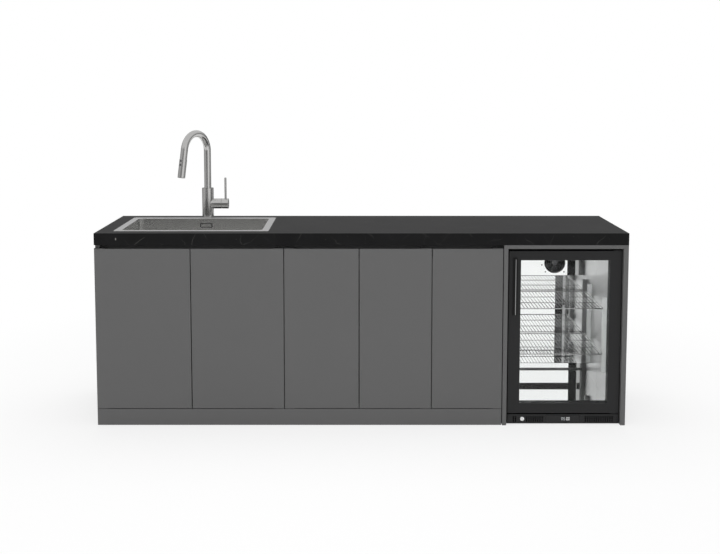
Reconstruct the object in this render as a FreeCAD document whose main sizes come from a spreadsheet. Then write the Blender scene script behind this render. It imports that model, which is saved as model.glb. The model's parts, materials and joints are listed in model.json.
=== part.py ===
import FreeCAD, Part
import Sketcher
import math
import os
import re

# Outdoor kitchen run: sink, five cupboard doors and a bar fridge under one stone worktop.
# Millimetres. Front faces -Y, up is +Z, X = 0 and Y = 0 at the middle of the worktop, Z = 0 on the ground.

SIZES = [
    # Worktop
    ("bench_depth", 620),
    ("bench_height", 920),
    ("slab_thickness", 20),
    ("edge_height", 56),
    # Fronts
    ("front_setback", 2),
    ("door_thickness", 20),
    ("door_seat_gap", 3),
    ("door_gap", 4),
    ("door_1_width", 447),
    ("door_2_width", 433.5),
    ("door_3_width", 348.5),
    ("door_4_width", 338),
    ("door_5_width", 330),
    ("plinth_height", 80),
    ("plinth_floor_gap", 2),
    ("finger_recess", 18),
    # Carcass boards
    ("end_board", 22),
    ("carcass_board", 18),
    ("back_board", 12),
    ("back_overhang", 10),
    ("bay_board", 20),
    ("right_board", 23),
    ("bay_width", 540),
    ("bay_top_board", 18),
    ("channel_depth", 24),
    ("channel_drop", 46),
    ("channel_wall", 2),
    ("rail_height", 60),
    ("shelf_height", 450),
    ("shelf_setback", 30),
    ("shelf_support", 12),
    ("service_radius", 55),
    ("cable_radius", 30),
    ("vent_slot_height", 12),
    ("vent_slot_pitch", 30),
    # Door pivots
    ("pivot_edge_inset", 6),
    ("pivot_front_inset", 4.5),
    ("pin_radius", 2.5),
    ("pin_play", 0.05),
    ("pin_length", 9),
    ("bore_spare", 1),
    ("bracket_thickness", 2),
    ("bracket_air", 0.6),
    ("bracket_width", 30),
    ("bracket_tail", 24),
    ("magnet_width", 30),
    ("magnet_height", 14),
    ("magnet_air", 0.4),
    # Levelling feet
    ("foot_pad_radius", 25),
    ("foot_pad_height", 8),
    ("foot_stem_radius", 11),
    ("foot_inset", 80),
    ("clip_width", 16),
    # Sink
    ("sink_side_margin", 76),
    ("sink_front_margin", 63),
    ("sink_rear_margin", 75),
    ("rim_side", 33),
    ("rim_front", 33),
    ("rim_back", 40),
    ("rim_corner", 12),
    ("bowl_depth", 200),
    ("bowl_corner", 25),
    ("sink_sheet", 1.2),
    ("cutout_gap", 6),
    ("clip_length", 22),
    ("clip_height", 10),
    ("clip_reach", 18),
    ("drain_radius", 45),
    ("drain_flange", 11),
    ("drain_wall", 2),
    ("cup_depth", 46),
    ("tail_radius", 23.9),
    ("tail_length", 60),
    ("basket_depth", 32),
    ("basket_play", 1.5),
    ("knob_radius", 9),
    ("overflow_width", 65),
    ("overflow_height", 27),
    ("overflow_thickness", 3),
    ("overflow_drop", 34),
    # Tap
    ("tap_rear_margin", 43),
    ("tap_offset", 10),
    ("tap_radius", 29.8),
    ("tap_height", 152),
    ("tap_foot_radius", 31.5),
    ("tap_foot_height", 4),
    ("swivel_play", 0.06),
    ("sleeve_depth", 46),
    ("branch_height", 70),
    ("branch_radius", 26.5),
    ("branch_length", 71),
    ("branch_bore", 17.5),
    ("branch_bore_depth", 40),
    ("lever_slit", 0.8),
    ("cap_length", 35.2),
    ("cap_wall", 5.5),
    ("cap_hollow", 13),
    ("notch_height", 10),
    ("notch_angle", 24),
    ("stem_radius", 6),
    ("stem_play", 0.06),
    ("stem_reach", 8),
    ("lever_radius", 5.5),
    ("lever_end", 15),
    ("lever_top", 206),
    ("spout_radius", 17.8),
    ("spout_wall", 3.5),
    ("spout_rise", 345),
    ("arch_radius", 93),
    ("arch_sweep", 169),
    ("spout_tail", 48.5),
    ("spout_angle", 240),
    ("head_length", 96),
    ("head_radius", 19),
    ("head_neck", 18),
    ("head_neck_play", 1),
    ("head_mouth", 4),
    ("head_bore", 10),
    ("hose_radius", 7.5),
    ("hose_wall", 2.5),
    ("hose_length", 24),
    ("button_width", 9),
    ("button_height", 10),
    ("button_depth", 5),
    ("button_proud", 1.6),
    ("button_play", 0.3),
    ("button_travel", 1.2),
    ("button_drop", 6),
    ("button_pitch", 20),
    ("shank_radius", 15),
    ("shank_play", 2.5),
    ("shank_length", 72),
    ("nut_radius", 21),
    ("nut_height", 10),
    ("washer_thickness", 3),
    ("inlet_radius", 4.5),
    ("inlet_depth", 12),
    ("inlet_spread", 7),
    # Fridge
    ("fridge_recess", 18),
    ("fridge_left_gap", 7),
    ("fridge_right_gap", 4),
    ("fridge_top_gap", 13),
    ("fridge_rear_air", 18),
    ("fridge_foot_height", 8),
    ("fridge_foot_radius", 16),
    ("fridge_foot_inset", 40),
    ("buffer_radius", 12),
    ("fridge_door_thickness", 40),
    ("fridge_door_foot", 55),
    ("stile_width", 56),
    ("top_rail", 44),
    ("bottom_rail", 48),
    ("glass_thickness", 4),
    ("glass_edge", 9),
    ("glass_play", 0.3),
    ("glass_front_depth", 5),
    ("glass_spacing", 14),
    ("gasket_width", 14),
    ("gasket_inset", 16),
    ("gasket_seat", 8),
    ("gasket_air", 0.4),
    ("handle_width", 23),
    ("handle_length", 272),
    ("handle_depth", 17),
    ("handle_base", 4),
    ("handle_web", 7),
    ("handle_bead", 11),
    ("handle_inset", 18),
    ("handle_drop", 33),
    ("hinge_inset", 7),
    ("hinge_pin_radius", 4),
    ("hinge_pin_length", 14),
    ("hinge_plate", 3),
    ("hinge_width", 40),
    ("shell_sheet", 1.2),
    ("liner_sheet", 1.2),
    ("fridge_wall", 36),
    ("fridge_ceiling", 36),
    ("fridge_floor", 100),
    ("fridge_back_wall", 40),
    ("step_height", 112),
    ("step_depth", 215),
    ("cover_depth", 175),
    ("cover_height", 144),
    ("fan_offset", 15),
    ("fan_drop", 80),
    ("fan_hole", 53),
    ("fan_ring", 60),
    ("fan_bore", 50),
    ("fan_plate", 3),
    ("fan_spoke", 4),
    ("fan_motor_radius", 15),
    ("fan_motor_length", 10),
    ("fan_shaft_radius", 2),
    ("rotor_hub", 15),
    ("rotor_length", 14),
    ("rotor_air", 0.5),
    ("rotor_tip", 46),
    ("blade_chord", 17),
    ("blade_thickness", 1.6),
    ("upright_width", 16),
    ("upright_depth", 20),
    ("upright_top", 585),
    ("upright_front", 75),
    ("upright_rear", 48.6),
    ("shelf_clip", 10),
    ("wire_shelf_low", 312),
    ("wire_shelf_high", 535),
    ("wire_shelf_thickness", 5),
    ("wire_shelf_front", 45),
    ("wire_shelf_rear", 14.6),
    ("wire_width", 3),
    ("wire_pitch", 14),
    ("wire_frame", 6),
    ("vent_top_gap", 7),
    ("vent_bottom", 4),
    ("vent_setback", 2),
    ("vent_sheet", 3),
    ("slot_width", 5),
    ("slot_height", 31),
    ("slot_foot", 5),
    ("slot_inset", 27),
    ("panel_width", 159),
    ("panel_height", 34),
    ("panel_flange", 4),
    ("panel_depth", 10),
    ("panel_play", 0.3),
    ("panel_proud", 0.5),
    ("key_size", 6.6),
    ("key_pitch", 9),
    ("key_length", 8),
    ("key_proud", 1),
    ("key_play", 0.3),
    ("key_right", 72),
    ("lock_radius", 9.5),
    ("lock_play", 0.08),
    ("lock_length", 24),
    ("lock_proud", 3),
    ("lock_inset", 71),
    ("compressor_radius", 62),
    ("compressor_height", 150),
    ("compressor_right", 100),
]

# Places worked out from the sizes above.
PLACES = {
    "doors_run": "door_1_width + door_2_width + door_3_width + door_4_width + door_5_width + 5 * door_gap",
    "bench_length": "doors_run + bay_board + bay_width + right_board",
    "left_end": "-bench_length / 2",
    "right_end": "bench_length / 2",
    "front_edge": "-bench_depth / 2",
    "back_edge": "bench_depth / 2",
    "slab_under": "bench_height - slab_thickness",
    "carcass_top": "bench_height - edge_height",
    "door_front": "front_edge + front_setback",
    "door_back": "door_front + door_thickness",
    "carcass_front": "door_back + door_seat_gap",
    "back_face": "back_edge - back_overhang",
    "board_back": "back_face - back_board",
    "door_bottom": "plinth_height + 2 * bracket_air + bracket_thickness",
    "door_top": "carcass_top - finger_recess",
    "door_height": "door_top - door_bottom",
    "floor_under": "door_bottom - bracket_air",
    "floor_top": "floor_under + carcass_board",
    "door_1_left": "left_end",
    "door_2_left": "door_1_left + door_1_width + door_gap",
    "door_3_left": "door_2_left + door_2_width + door_gap",
    "door_4_left": "door_3_left + door_3_width + door_gap",
    "door_5_left": "door_4_left + door_4_width + door_gap",
    "bay_board_left": "door_5_left + door_5_width + door_gap",
    "bay_left": "bay_board_left + bay_board",
    "bay_right": "bay_left + bay_width",
    "bay_under": "carcass_top - bay_top_board",
    "inner_left": "left_end + end_board",
    "partition_1": "door_3_left - door_gap / 2",
    "partition_2": "door_5_left - door_gap / 2",
    "channel_low": "door_top - channel_drop",
    "channel_back": "carcass_front + channel_depth + channel_wall",
    "sink_left": "left_end + sink_side_margin",
    "sink_right": "partition_1 - sink_side_margin",
    "sink_middle": "(sink_left + sink_right) / 2",
    "sink_front": "front_edge + sink_front_margin",
    "sink_back": "back_edge - sink_rear_margin",
    "bowl_left": "sink_left + rim_side",
    "bowl_right": "sink_right - rim_side",
    "bowl_front": "sink_front + rim_front",
    "bowl_back": "sink_back - rim_back",
    "bowl_floor": "bench_height - bowl_depth",
    "bowl_middle": "(bowl_front + bowl_back) / 2",
    "tap_middle": "sink_middle + tap_offset",
    "tap_place": "back_edge - tap_rear_margin",
    "spout_bore": "spout_radius - spout_wall",
    "cap_left": "branch_length + lever_slit",
    "cap_right": "cap_left + cap_length",
    "fridge_left": "bay_left + fridge_left_gap",
    "fridge_right": "bay_right - fridge_right_gap",
    "fridge_front": "door_front + fridge_recess",
    "fridge_door_back": "fridge_front + fridge_door_thickness",
    "shell_front": "fridge_door_back + gasket_seat",
    "shell_back": "board_back - fridge_rear_air",
    "fridge_depth": "shell_back - fridge_front",
    "fridge_door_top": "bay_under - fridge_top_gap",
    "shell_top": "fridge_door_top + bracket_air",
    "pane_left": "fridge_left + stile_width",
    "pane_right": "fridge_right - stile_width",
    "pane_low": "fridge_door_foot + bottom_rail",
    "pane_high": "fridge_door_top - top_rail",
    "liner_left": "fridge_left + fridge_wall",
    "liner_right": "fridge_right - fridge_wall",
    "liner_top": "shell_top - fridge_ceiling",
    "liner_back": "shell_back - fridge_back_wall",
    "liner_front": "shell_front + shell_sheet",
    "step_front": "liner_back - step_depth",
    "step_top": "fridge_floor + step_height",
    "cool_left": "liner_left + liner_sheet",
    "cool_right": "liner_right - liner_sheet",
    "cool_top": "liner_top - liner_sheet",
    "cool_back": "liner_back - liner_sheet",
    "cool_middle": "(cool_left + cool_right) / 2",
    "cover_front": "liner_back - cover_depth",
    "cover_low": "cool_top - cover_height",
    "fan_across": "cool_middle + fan_offset",
    "fan_up": "cool_top - fan_drop",
    "fan_back": "cover_front + liner_sheet",
    "motor_back": "fan_back + fan_plate + fan_motor_length",
    "upright_1": "liner_front + upright_front",
    "upright_spacing": "cool_back - upright_rear - upright_width - upright_1",
    "upright_2": "upright_1 + upright_spacing",
    "wire_shelf_depth": "cool_back - wire_shelf_rear - liner_front - wire_shelf_front",
    "vent_front": "fridge_front + vent_setback",
    "vent_top": "fridge_door_foot - vent_top_gap",
    "vent_middle": "(fridge_left + fridge_right) / 2",
    "slot_low": "vent_bottom + slot_foot",
    "slot_pitch": "((fridge_right - fridge_left - panel_width) / 2 - slot_inset - 2 * slot_width) / 14",
    "panel_low": "vent_bottom + (vent_top - vent_bottom - panel_height) / 2",
    "panel_up": "panel_low + panel_height / 2",
    "panel_front": "vent_front - panel_proud",
    "handle_left": "fridge_left + handle_inset",
    "handle_top": "fridge_door_top - handle_drop",
    "hinge_across": "fridge_right - hinge_inset",
    "hinge_deep": "fridge_front + hinge_inset",
}

ALIASES = {name for name, value in SIZES}
WORD = re.compile(r"[a-z][a-z0-9_]*")
UP = FreeCAD.Vector(0, 0, 1)
TURNS = {
    "x": FreeCAD.Rotation(FreeCAD.Vector(0, 1, 0), 90),
    "y": FreeCAD.Rotation(FreeCAD.Vector(1, 0, 0), -90),
    "z": FreeCAD.Rotation(),
}

doc = FreeCAD.newDocument("outdoor_kitchen")
sheet = doc.addObject("Spreadsheet::Sheet", "Sizes")
for row, (name, value) in enumerate(SIZES, start=1):
    sheet.set(f"A{row}", name.replace("_", " "))
    sheet.set(f"B{row}", str(value))
    sheet.setAlias(f"B{row}", name)
doc.recompute()

nodes = []


def sized(text):
    """The expression for a text of sizes and places, written out in the sheet's own cells."""

    def spell(match):
        word = match.group(0)
        if word in PLACES:
            return f"({sized(PLACES[word])})"
        return f"Sizes.{word}" if word in ALIASES else word

    return WORD.sub(spell, str(text))


def size(name):
    return float(sheet.get(name))


def place(item, x, y, z):
    for axis, text in zip("xyz", (x, y, z)):
        item.setExpression(f"Placement.Base.{axis}", sized(text))
    return item


def box(x0, x1, y0, y1, z0, z1):
    item = doc.addObject("Part::Box", "block")
    for side, low, high in (("Length", x0, x1), ("Width", y0, y1), ("Height", z0, z1)):
        item.setExpression(side, sized(f"({high}) - ({low})"))
    return place(item, x0, y0, z0)


def rod(radius, length, x, y, z, axis="z"):
    item = doc.addObject("Part::Cylinder", "rod")
    item.setExpression("Radius", sized(radius))
    item.setExpression("Height", sized(length))
    item.Placement = FreeCAD.Placement(FreeCAD.Vector(), TURNS[axis])
    return place(item, x, y, z)


def fuse(*items):
    joined = doc.addObject("Part::MultiFuse", "joined")
    joined.Shapes = list(items)
    return joined


def cut(base, *tools):
    result = doc.addObject("Part::Cut", "cut")
    result.Base = base
    result.Tool = tools[0] if len(tools) == 1 else fuse(*tools)
    return result


def rounded(base, radius, wanted):
    """Fillet the edges that the test accepts."""
    doc.recompute()
    edges = []
    for number, edge in enumerate(base.Shape.Edges, start=1):
        if wanted(edge):
            edges.append((number, size(radius), size(radius)))
    result = doc.addObject("Part::Fillet", "rounded")
    result.Base = base
    result.Edges = edges
    return result


def carried(item, placement):
    """The item as drawn about its own origin, moved to a placement."""
    moved = doc.addObject("Part::Compound", "moved")
    moved.Links = [item]
    moved.Placement = placement
    return moved


def node(label, *items):
    """Name a finished sub-part; several items become one group of separate solids."""
    item = items[0]
    if len(items) > 1:
        item = doc.addObject("Part::Compound", "group")
        item.Links = list(items)
    item.Label = label
    nodes.append(item)
    return item


def body(plane_role, outlines, circles=(), support_height=None, holder=None):
    """A sketch in a body: closed outlines of (x, y) texts and circles of (x, y, radius) texts."""
    holder = holder or doc.addObject("PartDesign::Body", "body")
    plane = next(item for item in holder.Origin.OriginFeatures if item.Role == plane_role)
    sketch = holder.newObject("Sketcher::SketchObject", "sketch")
    sketch.AttachmentSupport = (plane, [""])
    sketch.MapMode = "FlatFace"
    if support_height:
        sketch.setExpression("AttachmentOffset.Base.z", sized(support_height))
    for corners in outlines:
        first = len(sketch.Geometry)
        count = len(corners)
        turns = [2 * math.pi * i / count for i in range(count)]
        start = [FreeCAD.Vector(10 + 9 * math.cos(turn), 9 * math.sin(turn), 0) for turn in turns]
        for i in range(count):
            sketch.addGeometry(Part.LineSegment(start[i], start[(i + 1) % count]))
        for i in range(count):
            sketch.addConstraint(
                Sketcher.Constraint("Coincident", first + i, 2, first + (i + 1) % count, 1)
            )
        for i, (across, along) in enumerate(corners):
            pin(sketch, "DistanceX", first + i, 1, start[i].x, across)
            pin(sketch, "DistanceY", first + i, 1, start[i].y, along)
    for across, along, radius in circles:
        ring = sketch.addGeometry(Part.Circle(FreeCAD.Vector(5, 5, 0), UP, 2))
        pin(sketch, "DistanceX", ring, 3, 5, across)
        pin(sketch, "DistanceY", ring, 3, 5, along)
        number = sketch.addConstraint(Sketcher.Constraint("Radius", ring, 2))
        sketch.setExpression(f"Constraints[{number}]", sized(radius))
    return holder, sketch


def pin(sketch, kind, geometry, point, value, text):
    number = sketch.addConstraint(Sketcher.Constraint(kind, -1, 1, geometry, point, value))
    sketch.setExpression(f"Constraints[{number}]", sized(text))


def pad(holder, sketch, length):
    feature = holder.newObject("PartDesign::Pad", "pad")
    feature.Profile = sketch
    feature.setExpression("Length", sized(length))
    return feature


def pocket(holder, sketch, length, upward=False):
    feature = holder.newObject("PartDesign::Pocket", "pocket")
    feature.Profile = sketch
    feature.setExpression("Length", sized(length))
    feature.Reversed = upward
    return feature


def turned(profile):
    """A body turned about its own Z from a closed outline of (radius, height) texts."""
    holder, sketch = body("XZ_Plane", [profile])
    feature = holder.newObject("PartDesign::Revolution", "turned")
    feature.Profile = sketch
    feature.ReferenceAxis = (sketch, ["V_Axis"])
    feature.Angle = 360
    return holder


# Worktop: a slab with mitred edges and a ring of apron strips under it
def slab_blank():
    blank = doc.addObject("Part::Wedge", "slab_blank")
    bounds = {
        "Xmin": "left_end + slab_thickness",
        "Xmax": "right_end - slab_thickness",
        "Ymin": "0",
        "Ymax": "slab_thickness",
        "Zmin": "front_edge + slab_thickness",
        "Zmax": "back_edge - slab_thickness",
        "X2min": "left_end",
        "X2max": "right_end",
        "Z2min": "front_edge",
        "Z2max": "back_edge",
    }
    for name, text in bounds.items():
        blank.setExpression(name, sized(text))
    blank.Placement = FreeCAD.Placement(FreeCAD.Vector(), FreeCAD.Rotation(FreeCAD.Vector(1, 0, 0), 90))
    return place(blank, "0", "0", "slab_under")


sink_cutout = box(
    "bowl_left - sink_sheet - cutout_gap", "bowl_right + sink_sheet + cutout_gap",
    "bowl_front - sink_sheet - cutout_gap", "bowl_back + sink_sheet + cutout_gap",
    "slab_under - 5", "bench_height + 5",
)
tap_hole = rod(
    "shank_radius + shank_play", "slab_thickness + 10", "tap_middle", "tap_place", "slab_under - 5",
)
node("benchtop_slab", cut(slab_blank(), sink_cutout, tap_hole))
apron_blank = box("left_end", "right_end", "front_edge", "back_edge", "carcass_top", "bench_height")
apron_inside = box(
    "left_end + slab_thickness", "right_end - slab_thickness",
    "front_edge + slab_thickness", "back_edge - slab_thickness", "carcass_top - 5", "slab_under",
)
node("benchtop_apron", cut(apron_blank, apron_inside, slab_blank()))

# Carcass boards
node("left_end_panel", box("left_end", "inner_left", "carcass_front", "back_face", "0", "carcass_top"))
partitions = []
for line in ("partition_1", "partition_2"):
    half = f"{line} - carcass_board / 2"
    far = f"{line} + carcass_board / 2"
    board = box(half, far, "carcass_front", "board_back", "floor_under", "slab_under")
    notch = box(
        f"{line} - carcass_board", f"{line} + carcass_board",
        "carcass_front - 5", "channel_back", "channel_low", "carcass_top",
    )
    partitions.append(cut(board, notch))
node("cupboard_partitions", *partitions)
node("fridge_side_panel", box("bay_board_left", "bay_left", "door_front", "board_back", "0", "carcass_top"))
node("right_end_panel", box("bay_right", "right_end", "door_front", "back_face", "0", "carcass_top"))
node("fridge_bay_top", box("bay_left", "bay_right", "door_front", "board_back", "bay_under", "carcass_top"))

CUPBOARDS = [
    ("inner_left", "partition_1 - carcass_board / 2"),
    ("partition_1 + carcass_board / 2", "partition_2 - carcass_board / 2"),
    ("partition_2 + carcass_board / 2", "bay_board_left"),
]
floors = []
rails = []
for left, right in CUPBOARDS:
    floors.append(box(left, right, "carcass_front", "board_back", "floor_under", "floor_top"))
    rails.append(
        box(
            left, right, "carcass_front", "carcass_front + carcass_board",
            "channel_low - rail_height", "channel_low",
        )
    )
node("cupboard_floors", *floors)
node("front_rails", *rails)

sink_back_board = cut(
    box("inner_left", "partition_1", "board_back", "back_face", "floor_under", "carcass_top"),
    rod("service_radius", "back_board + 10", "sink_middle + 150", "board_back - 5", "shelf_height", "y"),
)
pair_back_board = box("partition_1", "partition_2", "board_back", "back_face", "floor_under", "carcass_top")
single_back_board = box("partition_2", "bay_left", "board_back", "back_face", "floor_under", "carcass_top")
vents = [rod("cable_radius", "back_board + 10", "bay_left + 100", "board_back - 5", "shelf_height", "y")]
for slot in range(6):
    for row in ("floor_under + vent_slot_pitch", "carcass_top - 7 * vent_slot_pitch"):
        low = f"{row} + {slot} * vent_slot_pitch"
        vents.append(
            box(
                "bay_left + bay_width / 4", "bay_right - bay_width / 4",
                "board_back - 5", "back_face + 5", low, f"{low} + vent_slot_height",
            )
        )
bay_back = box("bay_left", "bay_right", "board_back", "back_face", "plinth_floor_gap", "carcass_top")
node("cupboard_backs", sink_back_board, pair_back_board, single_back_board, cut(bay_back, *vents))

channel = box("inner_left", "bay_board_left", "carcass_front", "channel_back", "channel_low", "carcass_top")
channel_space = box(
    "inner_left - 5", "bay_board_left + 5", "carcass_front - 5", "channel_back - channel_wall",
    "channel_low + channel_wall", "carcass_top - channel_wall",
)
node("finger_channel", cut(channel, channel_space))
plinth_right = "bay_board_left - door_gap"
node(
    "plinth",
    box("left_end", plinth_right, "door_front", "carcass_front", "plinth_floor_gap", "plinth_height"),
)

shelves = []
supports = []
for left, right in CUPBOARDS[1:]:
    front = "carcass_front + shelf_setback"
    shelves.append(box(left, right, front, "board_back", "shelf_height", "shelf_height + carcass_board"))
    for side, end in ((left, f"{left} + shelf_support"), (f"{right} - shelf_support", right)):
        for near in ("carcass_front + 3 * shelf_setback", "board_back - 3 * shelf_setback"):
            supports.append(
                box(
                    side, end, near, f"{near} + shelf_support",
                    "shelf_height - shelf_support", "shelf_height",
                )
            )
node("cupboard_shelves", *shelves)
node("shelf_supports", *supports)

# Levelling feet under the cupboard floors; the front row holds the plinth
feet = []
for left, right in CUPBOARDS:
    for across in (f"{left} + foot_inset", f"{right} - foot_inset"):
        for along, at_front in (("carcass_front + foot_inset", True), ("board_back - foot_inset", False)):
            pieces = [
                rod("foot_pad_radius", "foot_pad_height", across, along, "0"),
                rod("foot_stem_radius", "floor_under", across, along, "0"),
            ]
            if at_front:
                pieces.append(
                    box(
                        f"{across} - clip_width / 2", f"{across} + clip_width / 2", "carcass_front", along,
                        "plinth_height / 2", "plinth_height / 2 + clip_width",
                    )
                )
            feet.append(fuse(*pieces))
node("levelling_feet", *feet)

# Doors on pivot pins; a bracket below and one above each hinge edge carry a welded pin each
HINGES = {1: "left", 2: "right", 3: "left", 4: "right", 5: "right"}
brackets = []
magnets = []
for number, side in HINGES.items():
    width = f"door_{number}_width"
    left = f"door_{number}_left"
    across = "pivot_edge_inset" if side == "left" else f"{width} - pivot_edge_inset"
    corners = [("0", "0"), (width, "0"), (width, "door_thickness"), ("0", "door_thickness")]
    hole = [(across, "pivot_front_inset", "pin_radius + pin_play")]
    door, outline = body("XY_Plane", [corners])
    pad(door, outline, "door_height")
    lower_bore = body("XY_Plane", [], hole, holder=door)[1]
    pocket(door, lower_bore, "pin_length + bore_spare", upward=True)
    upper_bore = body("XY_Plane", [], hole, "door_height", holder=door)[1]
    pocket(door, upper_bore, "pin_length + bore_spare")
    node(f"door_{number}", place(door, left, "door_front", "door_bottom"))

    edge = left if side == "left" else f"{left} + {width}"
    inward = "+" if side == "left" else "-"
    pin_across = f"{edge} {inward} pivot_edge_inset"
    tail = (f"{edge} {inward} (end_board + 1)", f"{edge} {inward} (end_board + 1 + bracket_tail)")
    tab = (edge, f"{edge} {inward} bracket_width")
    if side == "right":
        tail = tail[::-1]
        tab = tab[::-1]
    pin_along = "door_front + pivot_front_inset"
    tab_front = "door_front + 1"
    tab_back = "carcass_front - 1"
    low = "plinth_height + bracket_air"
    brackets.append(
        fuse(
            box(*tab, tab_front, tab_back, low, "floor_under"),
            box(*tail, tab_front, "carcass_front + foot_inset / 2", low, "floor_under"),
        )
    )
    brackets.append(rod("pin_radius", "pin_length", pin_across, pin_along, "floor_under"))
    high = "door_top + bracket_air"
    high_top = f"{high} + bracket_thickness"
    brackets.append(
        fuse(
            box(*tab, tab_front, tab_back, high, high_top),
            box(*tail, tab_front, "channel_back - channel_wall", high, high_top),
        )
    )
    brackets.append(rod("pin_radius", "pin_length", pin_across, pin_along, f"{high} - pin_length"))
    free = f"{left} + {width} - 3 * magnet_width" if side == "left" else f"{left} + 2 * magnet_width"
    magnets.append(
        box(
            free, f"{free} + magnet_width", "door_back + magnet_air", "carcass_front",
            "channel_low - 2 * magnet_height", "channel_low - magnet_height",
        )
    )
node("pivot_brackets", *brackets)
node("magnet_catches", *magnets)


# Sink: a pressed bowl hung from a flat rim, clips under the slab, waste, basket and overflow
def upright(edge):
    return abs(edge.tangentAt(edge.FirstParameter).z) > 0.9


rim = rounded(
    box("sink_left", "sink_right", "sink_front", "sink_back", "bench_height", "bench_height + sink_sheet"),
    "rim_corner", upright,
)
bowl_outside = rounded(
    box(
        "bowl_left - sink_sheet", "bowl_right + sink_sheet",
        "bowl_front - sink_sheet", "bowl_back + sink_sheet",
        "bowl_floor - sink_sheet", "bench_height + sink_sheet",
    ),
    "bowl_corner", upright,
)
bowl_inside = rounded(
    box("bowl_left", "bowl_right", "bowl_front", "bowl_back", "bowl_floor", "bench_height + 40"),
    "bowl_corner", upright,
)
drain_hole = rod("drain_radius", "20", "sink_middle", "bowl_middle", "bowl_floor - 10")
overflow_low = "bench_height - overflow_drop - overflow_height / 4"
overflow_hole = box(
    "tap_middle - overflow_width / 3", "tap_middle + overflow_width / 3", "bowl_back - 5", "bowl_back + 10",
    overflow_low, f"{overflow_low} + overflow_height / 2",
)
node("sink_bowl", cut(fuse(bowl_outside, rim), bowl_inside, drain_hole, overflow_hole))

clip_low = "slab_under - clip_height"
clips = []
for share in (0.2, 0.8):
    across = f"bowl_left + {share} * (bowl_right - bowl_left)"
    clips.append(
        box(
            across, f"{across} + clip_length", "bowl_front - sink_sheet - cutout_gap - clip_reach",
            "bowl_front - sink_sheet", clip_low, "slab_under",
        )
    )
    clips.append(
        box(
            across, f"{across} + clip_length", "bowl_back + sink_sheet",
            "bowl_back + sink_sheet + cutout_gap + clip_reach", clip_low, "slab_under",
        )
    )
for start, end in (
    ("bowl_left - sink_sheet - cutout_gap - clip_reach", "bowl_left - sink_sheet"),
    ("bowl_right + sink_sheet", "bowl_right + sink_sheet + cutout_gap + clip_reach"),
):
    clips.append(
        box(
            start, end, "bowl_middle - clip_length / 2", "bowl_middle + clip_length / 2",
            clip_low, "slab_under",
        )
    )
node("sink_clips", *clips)

waste = turned(
    [
        ("drain_radius + drain_flange", "0"),
        ("drain_radius + drain_flange", "drain_wall"),
        ("drain_radius - 0.5 - drain_wall", "drain_wall"),
        ("drain_radius - 0.5 - drain_wall", "drain_wall - cup_depth"),
        ("tail_radius - 2 * drain_wall", "drain_wall - cup_depth"),
        ("tail_radius - 2 * drain_wall", "-cup_depth - tail_length"),
        ("tail_radius", "-cup_depth - tail_length"),
        ("tail_radius", "-cup_depth"),
        ("drain_radius - 0.5", "-cup_depth"),
        ("drain_radius - 0.5", "-sink_sheet - 4 * drain_wall"),
        ("drain_radius + drain_flange / 2", "-sink_sheet - 4 * drain_wall"),
        ("drain_radius + drain_flange / 2", "-sink_sheet"),
        ("drain_radius - 0.5", "-sink_sheet"),
        ("drain_radius - 0.5", "0"),
    ]
)
node("sink_waste", place(waste, "sink_middle", "bowl_middle", "bowl_floor"))

basket_radius = "drain_radius - 0.5 - drain_wall - basket_play"
basket = turned(
    [
        (f"{basket_radius} + 3 * drain_wall", "drain_wall"),
        (f"{basket_radius} + 3 * drain_wall", "drain_wall + sink_sheet"),
        (f"{basket_radius} - sink_sheet", "drain_wall + sink_sheet"),
        (f"{basket_radius} - sink_sheet", "sink_sheet - basket_depth"),
        ("knob_radius / 3", "sink_sheet - basket_depth"),
        ("knob_radius / 3", "knob_radius"),
        ("knob_radius", "knob_radius"),
        ("knob_radius", "2 * knob_radius"),
        ("0", "2 * knob_radius"),
        ("0", "-basket_depth"),
        (basket_radius, "-basket_depth"),
        (basket_radius, "drain_wall"),
    ]
)
holes = []
for step in range(10):
    across = f"{math.cos(2 * math.pi * step / 10):.6f} * drain_radius"
    along = f"{math.sin(2 * math.pi * step / 10):.6f} * drain_radius"
    holes.append((f"{across} / 2", f"{along} / 2", "4"))
    holes.append((f"{across} * 0.72", f"{along} * 0.72", "3"))
basket_holes = body("XY_Plane", [], holes, "-basket_depth - 1", holder=basket)[1]
pocket(basket, basket_holes, "sink_sheet + 3", upward=True)
node("strainer_basket", place(basket, "sink_middle", "bowl_middle", "bowl_floor"))

overflow_up = "bench_height - overflow_drop"
node(
    "overflow_plate",
    box(
        "tap_middle - overflow_width / 2", "tap_middle + overflow_width / 2",
        "bowl_back - overflow_thickness", "bowl_back",
        f"{overflow_up} - overflow_height / 2", f"{overflow_up} + overflow_height / 2",
    ),
)

# Tap, drawn about its own axis and then stood on the slab
tap_outside = fuse(
    rod("tap_radius", "tap_height", "0", "0", "0"),
    rod("tap_foot_radius", "tap_foot_height", "0", "0", "0"),
    rod("branch_radius", "branch_length", "0", "0", "branch_height", "x"),
)
tap_spaces = (
    rod("spout_radius + swivel_play", "sleeve_depth + 5", "0", "0", "tap_height - sleeve_depth"),
    rod(
        "branch_bore", "branch_bore_depth + 5",
        "branch_length - branch_bore_depth", "0", "branch_height", "x",
    ),
)
node("tap_body", place(cut(tap_outside, *tap_spaces), "tap_middle", "tap_place", "bench_height"))

shank = cut(
    rod("shank_radius", "shank_length", "0", "0", "-shank_length"),
    rod("inlet_radius", "inlet_depth", "inlet_spread", "0", "-shank_length"),
    rod("inlet_radius", "inlet_depth", "-inlet_spread", "0", "-shank_length"),
)
place(shank, "tap_middle", "tap_place", "bench_height")
nut_blank = fuse(
    rod("nut_radius + 1", "washer_thickness", "0", "0", "-washer_thickness"),
    rod("nut_radius", "nut_height", "0", "0", "-washer_thickness - nut_height"),
)
nut = cut(nut_blank, rod("shank_radius + pin_play", "50", "0", "0", "-40"))
node("tap_shank", shank, place(nut, "tap_middle", "tap_place", "slab_under"))

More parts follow.
